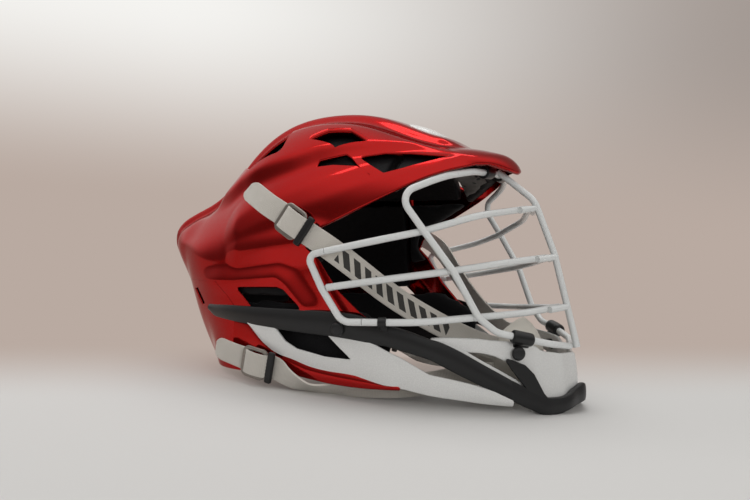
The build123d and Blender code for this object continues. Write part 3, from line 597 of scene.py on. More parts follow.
def directRays(tree, *kinds):
    # 1 for the rays of these kinds, by the names of Light Path
    paths = addNode(tree, "LightPath")
    share = paths.outputs[f"Is {kinds[0]} Ray"]
    for kind in kinds[1:]:
        share = maths(tree, "MAXIMUM", share, paths.outputs[f"Is {kind} Ray"])
    return share


def paperSweep():
    # floor: seamless paper, matte, which sweeps up into the backdrop behind the helmet. The sweep
    # goes by how far below the camera's level each point is, over how far ahead it is.
    s = stageSet
    material, tree, shader = newMaterial("paperSweep")
    feed(tree, shader, {"Base Color": s["floor"], "Roughness": s["floorRoughness"]})
    x, y, _ = separated(tree, coordinates(tree, "Object"))
    below = maths(tree, "MULTIPLY_ADD", x, s["slope"], s["drop"])
    ahead = maths(tree, "MULTIPLY_ADD", y, s["ahead"][1], s["distance"])
    ahead = maths(tree, "MULTIPLY_ADD", x, s["ahead"][0], ahead)
    dip = maths(tree, "DIVIDE", below, ahead)
    away = ranged(tree, dip, s["sweepFrom"], s["sweepTo"], way="SMOOTHSTEP")
    share = maths(tree, "MULTIPLY", directRays(tree, "Camera", "Glossy"), away)
    sweep = addNode(tree, "Emission", {"Color": s["backdropLow"], "Strength": 1.0}).outputs[0]
    blended = addNode(tree, "MixShader", {0: share, 1: shader.outputs["BSDF"], 2: sweep})
    feed(tree, tree.nodes["output"], {"Surface": blended.outputs[0]})
    return material


floorMesh.materials.append(paperSweep())


def studioWorld():
    # the backdrop for what the camera sees, a darker room for reflections, and an even fill
    s = stageSet
    world = bpy.data.worlds.new("studio")
    world.use_nodes = True
    tree = world.node_tree
    tree.nodes.clear()
    x, y, z = separated(tree, coordinates(tree, "Generated"))
    rightward, behind = [maths(tree, "MULTIPLY_ADD", y, s[way][1], maths(tree, "MULTIPLY", x, s[way][0]))
                         for way in ("rightward", "behind")]
    lateral, height, dim, lift = [ranged(tree, place, *s[span], way="SMOOTHSTEP") for place, span in (
        (rightward, "lateralSpan"), (z, "heightSpan"), (behind, "behindSpan"), (z, "liftSpan"))]
    high = mixed(tree, lateral, s["highLeft"], s["highRight"])
    backdrop = mixed(tree, height, s["backdropLow"], high)
    room = mixed(tree, dim, backdrop, mixed(tree, lift, s["roomLow"], s["roomHigh"]))
    shown = mixed(tree, directRays(tree, "Camera"), room, backdrop)
    picture = addNode(tree, "Background", {"Color": shown, "Strength": 1.0})
    fill = addNode(tree, "Background", {"Color": s["fillTint"], "Strength": s["fill"]})
    seen = directRays(tree, "Camera", "Glossy", "Transmission")
    blended = addNode(tree, "MixShader", {0: seen, 1: fill.outputs[0], 2: picture.outputs[0]})
    addNode(tree, "OutputWorld", {"Surface": blended.outputs[0]})
    return world


scene.world = studioWorld()
scene.view_settings.view_transform = "Standard"
print("stage set")

# Shell. Cross sections from rear to brim: place, half width, height of the widest point, top,
# bottom, the bottom's share of the half width, and how square the arch is.
domeSet = {
    "rows": [(-160.8, 0.4, 121, 121.4, 120.6, 1.0, 2.3), (-160, 10, 121, 127, 115, 1.0, 2.3),
             (-157, 19.5, 119.5, 129.5, 108, 0.9, 2.3), (-152, 29.5, 117, 132.8, 99, 0.66, 2.3),
             (-145, 38, 113, 136.5, 85, 0.3, 2.2), (-136, 46, 110, 140.5, 63, 0.12, 2.1),
             (-128, 52, 107.5, 144, 40, 0.1, 2.0), (-119, 60, 105, 149, 22, 0.28, 1.8),
             (-104, 73, 102.5, 160.5, 20, 0.5, 1.62), (-80, 88.5, 100, 185.5, 20, 0.82, 1.58),
             (-48, 100, 100, 205, 20, 0.95, 1.9), (-10, 105, 100, 211, 20, 0.98, 2.25),
             (30, 103, 106, 206.5, 20, 1.0, 2.3), (65, 94, 126, 193, 20, 1.0, 2.3),
             (90, 81.5, 140, 186.5, 20, 1.0, 2.3), (104, 67, 148, 184.5, 20, 1.0, 2.3),
             (113, 55, 149.5, 182.4, 20, 1.0, 2.3), (121, 39, 150, 179.6, 20, 1.0, 2.3),
             (127, 24, 150, 174.2, 20, 1.0, 2.3), (130, 11, 150, 168.5, 20, 1.0, 2.3)],
    "centre": -15.0, "length": 341.0, "halfWidth": 105.0, "height": 217.0, "angles": (24, 46, 68),
    "arch": (0, 0.09, 0.18, 0.27, 0.35, 0.43, 0.5), "archSteps": 250, "baseSteps": 36, "rowSteps": 190,
    "wall": 3.0, "cornerTurns": 6, "cornerSteps": 8,
}


def domeGrid(grow):
    s = domeSet
    scaleX = 1 + grow / (s["length"] / 2)
    scaleY, scaleZ = 1 + grow / s["halfWidth"], 1 + grow / s["height"]
    places = list(s["arch"]) + [1 - p for p in reversed(s["arch"][:-1])]
    across = np.linspace(0, 1, s["archSteps"])
    sections = []
    for x, width, side, top, bottom, tuck, square in s["rows"]:
        x = s["centre"] + (x - s["centre"]) * scaleX
        width, side, top, bottom = width * scaleY, side * scaleZ, top * scaleZ, bottom * scaleZ
        half = [(width * tuck, bottom), (width * (2 + tuck) / 3, (side + bottom) / 2), (width, side)]
        for angle in s["angles"]:
            c, d = math.cos(math.radians(angle)), math.sin(math.radians(angle))
            half.append((width * c ** (2 / square), side + (top - side) * d ** (2 / square)))
        loop = half + [(0, top)] + [(-y, z) for y, z in reversed(half)]
        arch = smoothCurve(places, loop, across)
        base = np.linspace(arch[-1], arch[0], s["baseSteps"] + 2)[1:-1]
        ring = np.vstack([arch, base])
        sections.append(np.column_stack([np.full(len(ring), x), ring]))
    sections = np.array(sections)
    gaps = np.linalg.norm(np.diff(sections, axis=0), axis=2).mean(axis=1)
    knots = np.concatenate([[0], np.cumsum(gaps)])
    along = np.linspace(0, knots[-1], s["rowSteps"])
    grid = smoothCurve(knots, sections.reshape(len(sections), -1), along).reshape(len(along), -1, 3)
    corner = s["cornerSteps"]
    for _ in range(s["cornerTurns"]):  # softens the corner where the back wall meets the sides
        soft = (np.roll(grid, 1, axis=1) + np.roll(grid, -1, axis=1)) / 2
        grid[:, s["archSteps"] - corner:] = soft[:, s["archSteps"] - corner:]
        grid[:, :corner] = soft[:, :corner]
    return grid


shellSet = {
    "faceOpening": [(10, 113), (14, 121), (20, 127.5), (52, 143), (72, 153), (87, 161), (100, 167),
                    (112, 172), (119, 172.5), (125, 170.5), (131, 168), (230, 160), (230, -20),
                    (60, -20), (60, 60), (48, 69), (33, 84), (19, 105)],
    "bottom": [(-200, 89), (-70, 89), (-52, 71.5), (-45, 61), (60, 61), (60, -20), (-200, -20)],
    "rear": [(-200, 88.4), (-70.4, 88.4), (-52.5, 71), (-45.5, 60.5), (-24, 48), (-18, 25.7),
             (-140, 25.7), (-200, 44)],
    "sideRib": [(-190, 124), (-165, 127), (-143, 134.5), (-98, 144), (-74, 152), (-60, 159.5),
                (-43, 164.5), (-9, 172), (8, 177.5), (29, 180), (71, 180.2), (100, 177.5), (124, 173),
                (124, 240), (-190, 240)],
    "slotRear": [(8, 169), (10, 174.5), (29, 178.4), (33, 176), (53, 160), (51, 163), (40, 168.5),
                 (22, 170)],
    "slotFront": [(37, 176), (55, 179), (71, 179), (98, 176.5), (88, 172.3), (71, 166.3), (60, 163)],
    "sideVent": [(-51, 85.6), (-12, 86.2), (-6, 84.4), (10.5, 69.8), (-35.5, 70)],
    "rearSlot": [(-112, 82), (-103, 84), (-94, 71), (-101, 69.5)],
    "rearTopVent": [(-80, -40), (-58, -70), (-24, -78), (-30, -40)],
    "frontTopVent": [(-7, -73), (6, -63), (24, -60), (44, -69), (20, -79)],
    "centreRib": [(-190, -20), (-60, -27), (40, -30), (80, -30), (100, -18), (100, 18), (80, 30),
                  (40, 30), (-60, 27), (-190, 20)],
    # creases of the side: a line of place and height, how far it stands out, and over what width
    "creases": [([(-47, 129), (-14, 141), (16, 151), (47, 163), (90, 174)], 4.6, 22),
                ([(-45, 113), (-18, 116), (12, 120)], 4.0, 18),
                ([(-150, 85), (-121, 86), (-49, 89), (-12, 92.5), (-5, 88), (9, 72)], 3.6, 11)],
    "hollow": 2.6, "creaseStep": 0.6, "belowRamp": 5, "sideRise": 3.5, "sideRamp": 5.5, "centreRise": 5.5,
    "centreRamp": 8.0, "rampStart": 0.2, "soften": 3, "rounding": 0.16, "crown": 108,
    "ridgeEnds": ((-152, -112), (4, 42)),  # the side ribs start this far from the middle, by place
    # where each fade starts and how long it is: the ridge across, the middle rib up and back, the
    # creases by how far the face looks sideways, forward and up
    "ridgeFade": 12, "ribUp": (100, 20), "ribBack": (-99, 24), "creaseFacing": (0.25, 0.3),
    "creaseForward": (-112, 40), "creaseUp": (30, 20),
}


def fade(value, start, length):
    # from 0 at start to 1 after a length
    return step((value - start) / length)


def shellRise(points, normals):
    # how far the outer face stands out from the plain dome at each point
    s = shellSet
    x, y, z = points.T
    side, top = points[:, (0, 2)], points[:, (0, 1)]
    sideDistance = outlineDistance(s["sideRib"], side)
    rise = s["sideRise"] * step(sideDistance / s["sideRamp"] + s["rampStart"])
    rise *= fade(np.abs(y), np.interp(x, *s["ridgeEnds"]), s["ridgeFade"])
    centre = s["centreRise"] * step(outlineDistance(s["centreRib"], top) / s["centreRamp"] + s["rampStart"])
    centre *= fade(z, *s["ribUp"]) * fade(-x, *s["ribBack"])
    rise = np.maximum(rise, centre)
    tents = np.zeros(len(x))
    for line, high, width in s["creases"]:
        tents = np.maximum(tents, high * np.clip(1 - lineDistance(line, side) / width, 0, 1))
    below = step(-sideDistance / s["belowRamp"]) * fade(np.abs(normals[:, 1]), *s["creaseFacing"])
    below *= fade(x, *s["creaseForward"]) * fade(z, *s["creaseUp"])
    return rise + below * (np.minimum(tents, s["hollow"] + s["creaseStep"]) - s["hollow"])


def softened(rise, turns):
    # evens the rise between neighbouring points, so that an outline across the grid has no steps
    for _ in range(turns):
        padded = np.pad(rise, ((1, 1), (0, 0)), mode="edge")
        around = (padded[:-2] + padded[2:] + np.roll(rise, 1, axis=1) + np.roll(rise, -1, axis=1)) / 4
        rise = (rise + around) / 2
    return rise


def everywhere(c):
    return np.ones(len(c), bool)


def sideOnly(limit):
    return lambda c: np.abs(c[:, 1]) > limit


def crownOnly(sign):
    return lambda c: (c[:, 2] > shellSet["crown"]) & (c[:, 1] * sign > 0)


def shellPanel(cuts):
    base, behind = domeGrid(0), domeGrid(-domeSet["wall"])
    normals = gridNormals(base, closed=True)
    rise = shellRise(base.reshape(-1, 3), normals.reshape(-1, 3)).reshape(base.shape[:2])
    rise = softened(rise, shellSet["soften"])
    outer = base + normals * rise[..., None]
    behind = behind + normals * np.minimum(rise, 0)[..., None]
    bm = gridMesh(outer, behind, gridNormals(outer, closed=True), closed=True)
    for cut in cuts:
        cutOutline(bm, *cut)
    return closePanel(bm, shellSet["rounding"])


# each cut: the outline, the view it is seen in, which faces it takes, keep or not, corner radius
rearSlotCut = (shellSet["rearSlot"], "side", sideOnly(38), False, 1.0)
outerCuts = [(shellSet["faceOpening"], "side", everywhere, False, 2.0),
             (shellSet["bottom"], "side", everywhere, False, 0),
             (shellSet["slotRear"], "side", sideOnly(38), False, 2.0),
             (shellSet["slotFront"], "side", sideOnly(38), False, 2.0),
             (shellSet["sideVent"], "side", sideOnly(60), False, 3.0), rearSlotCut]
for vent, corner in (("rearTopVent", 4.0), ("frontTopVent", 2.5)):
    for sign in (-1, 1):
        ventOutline = [(x, -sign * y) for x, y in shellSet[vent]]
        outerCuts.append((ventOutline, "top", crownOnly(sign), False, corner))
outerShell = addPiece("outerShell", shellPanel(outerCuts), "helmet", shellMaterial, ["outer_shell"])
print("outer shell:", len(outerShell.data.polygons), "faces")
rearCuts = [(shellSet["rear"], "side", everywhere, True, 0), rearSlotCut]
rearShell = addPiece("rearShell", shellPanel(rearCuts), "helmet", shellMaterial, ["rear_shell"])
print("rear shell:", len(rearShell.data.polygons), "faces")

# Strips that follow the jaw, whose plan is place and half width: each strip has rows of place,
# top and bottom, seen from the side.
jawPlan = [(-84, 80), (-60, 93), (-44, 99), (-20, 103.2), (0, 104.6), (42, 104.5), (68, 100), (92, 88),
           (113, 72), (138, 54), (160, 38), (171, 20), (176.5, 0)]


def stripPanel(rows, wall, proud=0.0, crown=0.0, lean=0.0, whole=False, cuts=(), rounding=0.3, cell=1.6):
    planX, planY = zip(*jawPlan)
    rows = [(x, -float(np.interp(x, planX, planY)), top, low) for x, top, low in rows]
    if whole:
        rows += [(x, -y, top, low) for x, y, top, low in reversed(rows[:-1])]
    rows = np.array(rows, float)
    knots = runLengths(rows[:, :2])
    along = np.linspace(0, knots[-1], max(12, int(knots[-1] / cell)))
    plan = smoothCurve(knots, rows[:, :2], along)
    edges = steadyCurve(knots, rows[:, 2:], along)
    run = unit(np.gradient(plan, axis=0))
    outward = np.column_stack([run[:, 1], -run[:, 0], np.zeros(len(run))])
    count = max(7, int(np.abs(edges[:, 0] - edges[:, 1]).max() / cell))
    v = np.linspace(0, 1, count)
    z = edges[:, 1:2] + (edges[:, 0:1] - edges[:, 1:2]) * v
    leant = lean * (z - edges[:, 1:2])
    bulge = proud + crown * (1 - (2 * v - 1) ** 2) - leant
    flat = np.column_stack([plan, np.zeros(len(plan))])[:, None, :] + np.zeros((1, count, 1))
    outer = flat + outward[:, None, :] * bulge[..., None]
    outer[..., 2] = z
    inner = outer - outward[:, None, :] * (wall + (bulge - proud + leant))[..., None]
    normals = -gridNormals(outer)
    bm = gridMesh(outer[:, ::-1], inner[:, ::-1], normals[:, ::-1])
    for cut in cuts:
        cutOutline(bm, *cut)
    return closePanel(bm, rounding)


jawSet = {
    "sideTrim": [(-84, 70.9, 66.6), (-76, 71, 63.0), (-67, 71.2, 62.2), (-38, 70.8, 59.8),
                 (-17, 70.3, 58), (5, 69.9, 56.1), (28, 69.2, 54.3), (45, 68, 52.5), (58, 64.5, 49.9),
                 (68, 61.5, 48.8), (80, 57.5, 44.8), (94.3, 51.5, 39.6), (100.2, 49.2, 36),
                 (109.7, 43.6, 29.6), (124.2, 33.5, 20.5), (139.4, 23.2, 11.2)],
    "jawGuard": [(-37, 61, 59), (-22, 60.5, 45.2), (-6, 59.5, 36.9), (15, 57.8, 31.6), (32, 56, 29.3),
                 (50, 54, 27.2), (68, 50.5, 22.8), (77, 47.7, 20.8), (94, 40.6, 16), (109, 31, 12.5),
                 (123, 22.3, 9.4), (140, 11.8, 6.6)],
    "guardVent": [(-16, 58.8), (5, 57.5), (27.9, 55.2), (49.2, 36.9), (25.4, 38.5), (3.7, 42.9),
                  (-6, 47.9)],
    "guardWindow": [(57, 50.5), (67.6, 49.5), (80, 46), (98, 38.5), (112, 30), (133, 16), (127.8, 17.2),
                    (118.1, 20.8), (106.7, 24.5), (94.3, 28.1), (76.9, 39.6)],
    "rearArm": [(-52, 60, 34), (-36, 57.5, 31.5), (-24, 50.4, 30.2), (-12, 42.4, 28.4), (0, 38, 26.8),
                (15, 32.9, 24.3), (30, 30.4, 22.2), (52, 27.4, 20.4), (76, 21.6, 19.2)],
    "chinTrim": [(139.4, 23.2, 11.2), (146, 19, 7.4), (153, 14.2, 3.4), (158.7, 11, 0.4),
                 (163, 10.2, -0.5), (167, 9.9, 0.4), (171, 11.2, 2.2), (174, 14.8, 4.2),
                 (176.5, 17.0, 5.6)],
    "chinGuard": [(97, 52.2, 50.8), (109.7, 51.5, 44), (121, 50.7, 43.2), (130.3, 49.3, 41),
                  (137.7, 48.4, 37.2), (147.5, 47, 32.8), (152.5, 46, 26.8), (158.7, 42.6, 13.5),
                  (161.5, 41.3, 10.5), (166, 39.8, 9.6), (171, 38.5, 10.6), (174, 38.1, 13.6),
                  (176.5, 38, 16)],
    "strut": [(137.7, 37.4), (141, 36.0), (147.5, 32.8), (152.5, 26.8), (158.7, 13.5), (161.5, 9.5),
              (157, 9.0), (150.9, 15.6), (141.3, 30.8)],
    "strutRows": [(136, 40, 6), (148, 40, 4), (160, 40, 2), (164, 40, 1)],
    "guardRib": [(103, 50.0, 46.6), (109.7, 46.4, 42.4), (124.2, 36.2, 32.4), (134, 29.6, 25.8),
                 (148, 19.8, 16.2)],
}
guardCuts = [(jawSet["guardVent"], "side", everywhere, False, 2.5),
             (jawSet["guardWindow"], "side", everywhere, False, 1.5)]
strutCuts = [(jawSet["strut"], "side", everywhere, True, 1.2)]
# each strip: its piece, rows, slot, material, the node of each side that it replaces, its shape
sideStrips = [
    ("sideTrim", "sideTrim", "trim", trimMaterial, "side_trim",
     {"wall": 5.0, "proud": 1.0, "crown": 1.3, "rounding": 0.22}),
    ("jawGuard", "jawGuard", "guard", guardMaterial, "jaw_guard",
     {"wall": 3.0, "crown": 1.4, "cuts": guardCuts}),
    ("rearArm", "rearArm", "shell", shellMaterial, None, {"wall": 3.0, "crown": 0.8}),
    ("chinStrut", "strutRows", "trim", trimMaterial, None,
     {"wall": 4.0, "proud": 0.4, "cuts": strutCuts, "cell": 1.2}),
    ("guardRib", "guardRib", "guard", guardMaterial, None, {"wall": 2.4, "proud": -4.0, "crown": 0.4}),
]
for name, rows, slotName, material, node, shape in sideStrips:
    panel = stripPanel(jawSet[rows], **shape)
    for side, mirrored in sides:
        replaced = [f"{node}_{side}"] if node else []
        addPiece(name + side.capitalize(), panel, "helmet", material, replaced, mirrored)
chinTrim = stripPanel(jawSet["chinTrim"], 5.0, proud=1.0, crown=0.6, whole=True, rounding=0.2)
addPiece("chinTrim", chinTrim, "helmet", trimMaterial, ["chin_trim"])
chinGuard = stripPanel(jawSet["chinGuard"], 4.0, proud=-4.2, crown=0.6, lean=0.1, whole=True)
addPiece("chinGuard", chinGuard, "helmet", guardMaterial, ["chin_guard"])
print("trim and guards made")


# Webbing and buckles. Each buckle has a seat on the shell: x runs along the strap to the chin
# and z stands out from the shell.
def seatAxes(stud, along, out):
    z = unit(out)
    along = np.array(along, float)
    x = unit(along - z * (along @ z))
    return np.array(stud, float), x, np.cross(z, x), z


def onSeat(seat, points):
    origin, x, y, z = seat
    return [origin + x * a + y * b + z * c for a, b, c in points]


quarters = ((1, 1, 0), (-1, 1, 90), (-1, -1, 180), (1, -1, 270))  # the corners of a bar, by angle


def roundedProfile(width, height, corner, flats=6, turns=3):
    # a closed outline of a flat bar with rounded edges, about its middle
    outline = []
    w, h = width / 2 - corner, height / 2 - corner
    for signX, signY, start in quarters:
        for k in range(turns + 1):
            a = math.radians(start + 90 * k / turns)
            outline.append((signX * w + corner * math.cos(a), signY * h + corner * math.sin(a)))
        if signX == signY:
            outline += [(signX * w * (1 - 2 * (k + 1) / flats), signX * height / 2) for k in range(flats - 1)]
    return np.array(outline)


def sweepSection(centre, across, out, profile, sizes=None, closed=False):
    # rings of a profile along a line, with flat caps at open ends; sizes scales each ring
    count, m = len(centre), len(profile)
    sizes = np.ones((count, 2)) if sizes is None else np.broadcast_to(sizes, (count, 2))
    across, out = np.broadcast_to(across, (count, 3)), np.broadcast_to(out, (count, 3))
    rings = (centre[:, None, :] + across[:, None, :] * (profile[None, :, 0:1] * sizes[:, None, 0:1])
             + out[:, None, :] * (profile[None, :, 1:2] * sizes[:, None, 1:2]))
    faces = []
    for i in range(count if closed else count - 1):
        j = (i + 1) % count
        for k in range(m):
            l = (k + 1) % m
            faces.append([i * m + k, i * m + l, j * m + l, j * m + k])
    if not closed:
        faces.append(list(reversed(range(m))))
        faces.append([(count - 1) * m + k for k in range(m)])
    return rings.reshape(-1, 3), faces


def joined(*shapes):
    verts, faces, shift = [], [], 0
    for v, f in shapes:
        verts.append(np.asarray(v, float))
        faces += [[k + shift for k in face] for face in f]
        shift += len(v)
    return np.vstack(verts), faces


def turned(profile, origin, axis, steps=40):
    # a shape of rotation from rows of radius and height
    z = unit(axis)
    x = unit(np.cross(z, (0.3, 0.9, 0.2)))  # any direction that no axis here lies along
    y = np.cross(z, x)
    angles = np.linspace(0, 2 * math.pi, steps, endpoint=False)
    verts, faces = [], []
    for radius, height in profile:
        centre = np.array(origin) + z * height
        verts += [centre + (x * math.cos(a) + y * math.sin(a)) * radius for a in angles]
    for r in range(len(profile) - 1):
        for k in range(steps):
            l = (k + 1) % steps
            faces.append([r * steps + k, r * steps + l, (r + 1) * steps + l, (r + 1) * steps + k])
    faces.append(list(reversed(range(steps))))
    faces.append([(len(profile) - 1) * steps + k for k in range(steps)])
    return np.array(verts), faces


# each strap: its snap's seat, and the routes of its lead and tail with the way its face looks
strapSet = {
    "width": 16.0, "thickness": 1.4, "cell": 1.3, "boundEdge": 1.6, "boundRise": 0.12, "corner": 0.588,
    "tailRound": 7.0, "tailNarrow": 0.62, "seatLift": 0.35,
    "upper": {"stud": (1.5, -102.8, 129.7), "along": (0.84, -0.11, -0.53), "out": (-0.03, -0.985, 0.17)},
    "lower": {"stud": (-27.0, -103.7, 33.5), "along": (0.97, -0.06, -0.22), "out": (-0.06, -0.995, -0.05)},
    "upperLead": [(23, -105.0, 116.5), (40, -95, 102), (62, -76, 80), (84, -57, 62.5), (102, -43, 51),
                  (113, -37.4, 46), (124, -35.3, 43)],
    "upperLeadOuts": [(0.0, -0.97, 0.15), (0.25, -0.93, 0.15), (0.45, -0.85, 0.15), (0.5, -0.8, 0.15),
                      (0.45, -0.88, 0.1), (0.2, -0.97, 0.1), (0.08, -0.99, 0.1)],
    "lowerLead": [(2, -106.8, 23.4), (13, -101.8, 18.6), (20, -97.6, 17.6), (28, -93.6, 17.6),
                  (40, -90.4, 18.6), (56, -82.0, 18.6), (76, -65.5, 18.8), (94, -50.0, 21.8),
                  (110, -38.6, 25), (122, -35.6, 25.5)],
    "lowerLeadOuts": [(0.0, -0.8, -0.6), (0.02, -0.46, -0.9), (0.05, -0.5, -0.86), (0.1, -0.62, -0.78),
                      (0.25, -0.85, -0.45), (0.35, -0.92, -0.2), (0.4, -0.9, -0.15), (0.4, -0.9, -0.15),
                      (0.2, -0.97, -0.1), (0.05, -0.99, -0.1)],
    "upperTail": [(-17.5, -101.8, 141.2), (-29, -98.6, 147.9), (-40.5, -94.4, 154.6)],
    "upperTailOuts": [(-0.05, -0.95, 0.3), (-0.07, -0.92, 0.4), (-0.1, -0.88, 0.46)],
    "lowerTail": [(-45, -103.4, 37.6), (-55, -101.6, 40), (-64, -99.4, 42.2)],
    "lowerTailOuts": [(-0.1, -0.99, -0.1), (-0.15, -0.98, -0.08), (-0.2, -0.97, -0.05)],
}
innerSideShift = 10.0  # metres along the print that the inner side's uv is moved, past its end


def webbingStrip(points, outs, endRound=0.0):
    # flat woven strap with bound edges; its uv runs along and across it in metres
    width, wall = strapSet["width"], strapSet["thickness"]
    points, outs = np.array(points, float), unit(np.array(outs, float))
    knots = runLengths(points)
    end = knots[-1]
    along = np.linspace(0, end, max(8, int(end / strapSet["cell"])))
    if endRound:
        curve = end - endRound * (1 - np.sin(np.linspace(0, math.pi / 2, 9)))
        along = np.concatenate([along[along < end - endRound], curve])
    centre = smoothCurve(knots, points, along)
    out = unit(steadyCurve(knots, outs, along))
    run = unit(np.gradient(centre, axis=0))
    out = unit(out - run * np.sum(out * run, axis=1, keepdims=True))
    sizes = np.ones((len(along), 2))
    if endRound:
        inside = np.clip(1 - (end - along) / endRound, 0, 1)
        sizes[:, 0] = 1 - strapSet["tailNarrow"] * (1 - np.sqrt(1 - inside ** 2 * 0.98))
    profile = roundedProfile(width, wall, strapSet["corner"], flats=10)
    edge = np.abs(profile[:, 0]) > width / 2 - strapSet["boundEdge"]
    profile[:, 1] += np.where(edge, strapSet["boundRise"] * np.sign(profile[:, 1]), 0) + wall / 2
    verts, faces = sweepSection(centre, np.cross(out, run), out, profile, sizes)
    m = len(profile)
    uvs = []
    for face in faces:
        inner = np.mean([profile[k % m, 1] for k in face]) < wall / 2
        shift = innerSideShift if inner else 0.0
        uvs += [(along[k // m] / 1000 + shift, profile[k % m, 0] * sizes[k // m, 0] / 1000) for k in face]
    return (verts, faces), np.array(uvs)


buckleSet = {"length": 21.0, "width": 22.0, "bar": 3.0, "height": 3.2, "lift": 2.6, "corner": 3.6,
             "lockDepth": 5.0, "teeth": 7, "toothMargin": 5, "socketRadius": 5.2, "socketLift": 1.1,
             "socketHeight": 3.4}


def ringShape(seat):
    b = buckleSet
    halfX, halfY = (b["length"] - b["bar"]) / 2, (b["width"] - b["bar"]) / 2
    path = []
    for signX, signY, start in quarters:
        for turn in np.linspace(start, start + 90, 7):
            a = math.radians(turn)
            path.append((signX * (halfX - b["corner"]) + b["corner"] * math.cos(a),
                         signY * (halfY - b["corner"]) + b["corner"] * math.sin(a),
                         b["lift"] + b["height"] / 2))
    centre = np.array(onSeat(seat, path))
    run = unit(np.roll(centre, -1, axis=0) - np.roll(centre, 1, axis=0))
    profile = roundedProfile(b["bar"], b["height"] * 0.8, 0.8, flats=3)
    return sweepSection(centre, np.cross(seat[3], run), seat[3], profile, closed=True)


def lockShape(seat):
    # a bar with rounded ends across the strap and a comb of teeth towards the fold
    b = buckleSet
    middle = (b["length"] + b["lockDepth"]) / 2
    ends, shrink = [0.95, 0.985, 1], [0.92, 0.7, 0.35]
    y = np.array([-v for v in reversed(ends)] + list(np.linspace(-0.9, 0.9, 15)) + ends) * b["width"] / 2
    size = np.array(shrink[::-1] + [1] * 15 + shrink)[:, None]
    centre = np.array(onSeat(seat, [(middle, v, b["lift"] + b["height"] / 2) for v in y]))
    profile = roundedProfile(b["lockDepth"], b["height"], 1.0, flats=3)[::-1]
    shapes = [sweepSection(centre, seat[1], seat[3], profile, size)]
    pitch = (b["width"] - b["toothMargin"]) / b["teeth"]
    toothProfile = roundedProfile(pitch * 0.55, b["height"] * 0.6, 0.4, flats=3, turns=2)
    face = middle - b["lockDepth"] / 2
    for k in range(b["teeth"]):
        v = (k - (b["teeth"] - 1) / 2) * pitch
        rows = [(face + reach, v, b["lift"] + b["height"] * 0.62) for reach in (0.6, -0.2, -0.7)]
        sizes = np.array([[1], [0.9], [0.5]])
        shapes.append(sweepSection(np.array(onSeat(seat, rows)), -seat[2], seat[3], toothProfile, sizes))
    return joined(*shapes)


def socketShape(seat):
    radius, low = buckleSet["socketRadius"], buckleSet["socketLift"]
    high = low + buckleSet["socketHeight"]
    return turned([(2.7, low + 0.9), (2.8, low), (radius - 0.6, low), (radius, low + 0.5),
                   (radius, high - 1.2), (radius - 0.4, high - 0.4), (radius - 1.2, high), (1.0, high),
                   (0.2, high - 0.3)], seat[0], seat[3])


def foldStrip(seat):
    top = buckleSet["lift"] + buckleSet["height"]
    # along the seat, height over it, and the way the strap's face looks there
    path = [(-7.2, 1.6, -1, 0.1), (-6.9, top - 1.6, -0.8, 0.6), (-5.2, top + 0.1, -0.4, 0.9),
            (-2.6, top + 0.95, -0.1, 1), (0.4, top + 1.2, 0, 1), (3.2, top + 1.1, 0.1, 1),
            (6.4, top + 0.5, 0.4, 1), (9.0, top - 0.7, 0.8, 0.9), (10.4, 2.6, 1, 0.1)]
    return webbingStrip(onSeat(seat, [(x, 0, z) for x, z, _, _ in path]),
                        [seat[1] * a + seat[3] * b for _, _, a, b in path])


for level in ("upper", "lower"):
    seat = seatAxes(**strapSet[level])
    under = buckleSet["lift"] - strapSet["thickness"] - 0.2
    flat = [seat[3], seat[3]]
    tailPoints = onSeat(seat, [(-5.0, 0, under), (-12.0, 0, under)]) + strapSet[level + "Tail"]
    leadStart = [(5.9, 0, strapSet["seatLift"]), (15.5, 0, strapSet["seatLift"])]
    leadPoints = onSeat(seat, leadStart) + strapSet[level + "Lead"]
    ring, lock, socket = ringShape(seat), lockShape(seat), socketShape(seat)
    fold, foldUvs = foldStrip(seat)
    tail, tailUvs = webbingStrip(tailPoints, flat + strapSet[level + "TailOuts"], strapSet["tailRound"])
    lead, leadUvs = webbingStrip(leadPoints, flat + strapSet[level + "LeadOuts"])
    leadMaterial = printedWebbing if level == "upper" else webbingMaterial
    for side, mirrored in sides:
        body = f"{level}_snap_{side}"
        tag = level + side.capitalize()
        folded = [f"{level}_webbing_{side}"]
        addPiece(tag + "Ring", ring, body, steelMaterial, [f"{level}_ring_{side}"], mirrored)
        addPiece(tag + "Lock", lock, body, clipMaterial, [f"{level}_lock_{side}"], mirrored)
        addPiece(tag + "Socket", socket, body, steelMaterial, [f"{level}_socket_{side}"], mirrored)
        addPiece(tag + "Fold", fold, body, webbingMaterial, folded, mirrored, foldUvs)
        addPiece(tag + "Tail", tail, body, webbingMaterial, folded, mirrored, tailUvs)
        strap = addPiece(tag + "Lead", lead, None, leadMaterial, [f"{level}_strap_{side}"],
                         mirrored, leadUvs)
        flip = otherSide if mirrored else 1
        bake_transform(strap)
print("straps and buckles made")

# Screws: low domed heads, sunk or lifted along their own axes.
screwSet = {"radius": 4.7, "rise": 2.7, "shank": 2.0, "depth": 8.5, "edge": 0.2,
            "chin": {"place": (144, -49.5, 41.5), "out": (36, -49.5, 0), "lift": -1.9},
            "side": {"place": (37, -104.5, 58.6), "out": (0, -1, 0), "lift": 2.4}}
r, h, shank, edge = (screwSet[k] for k in ("radius", "rise", "shank", "edge"))
screwProfile = [(shank, -screwSet["depth"]), (shank, -edge), (r - 0.3, -edge), (r, edge), (r, h * 0.35),
                (r * 0.93, h * 0.68), (r * 0.75, h * 0.9), (r * 0.4, h * 0.99), (0.3, h)]
for name in ("chin", "side"):
    out = unit(screwSet[name]["out"])
    base = np.array(screwSet[name]["place"], float) + out * screwSet[name]["lift"]
    heads = joined(*[turned(screwProfile, base * flip, out * flip) for flip in (1, otherSide)])
    addPiece(name + "ScrewHeads", heads, "helmet", screwMaterial, [name + "_screws"])

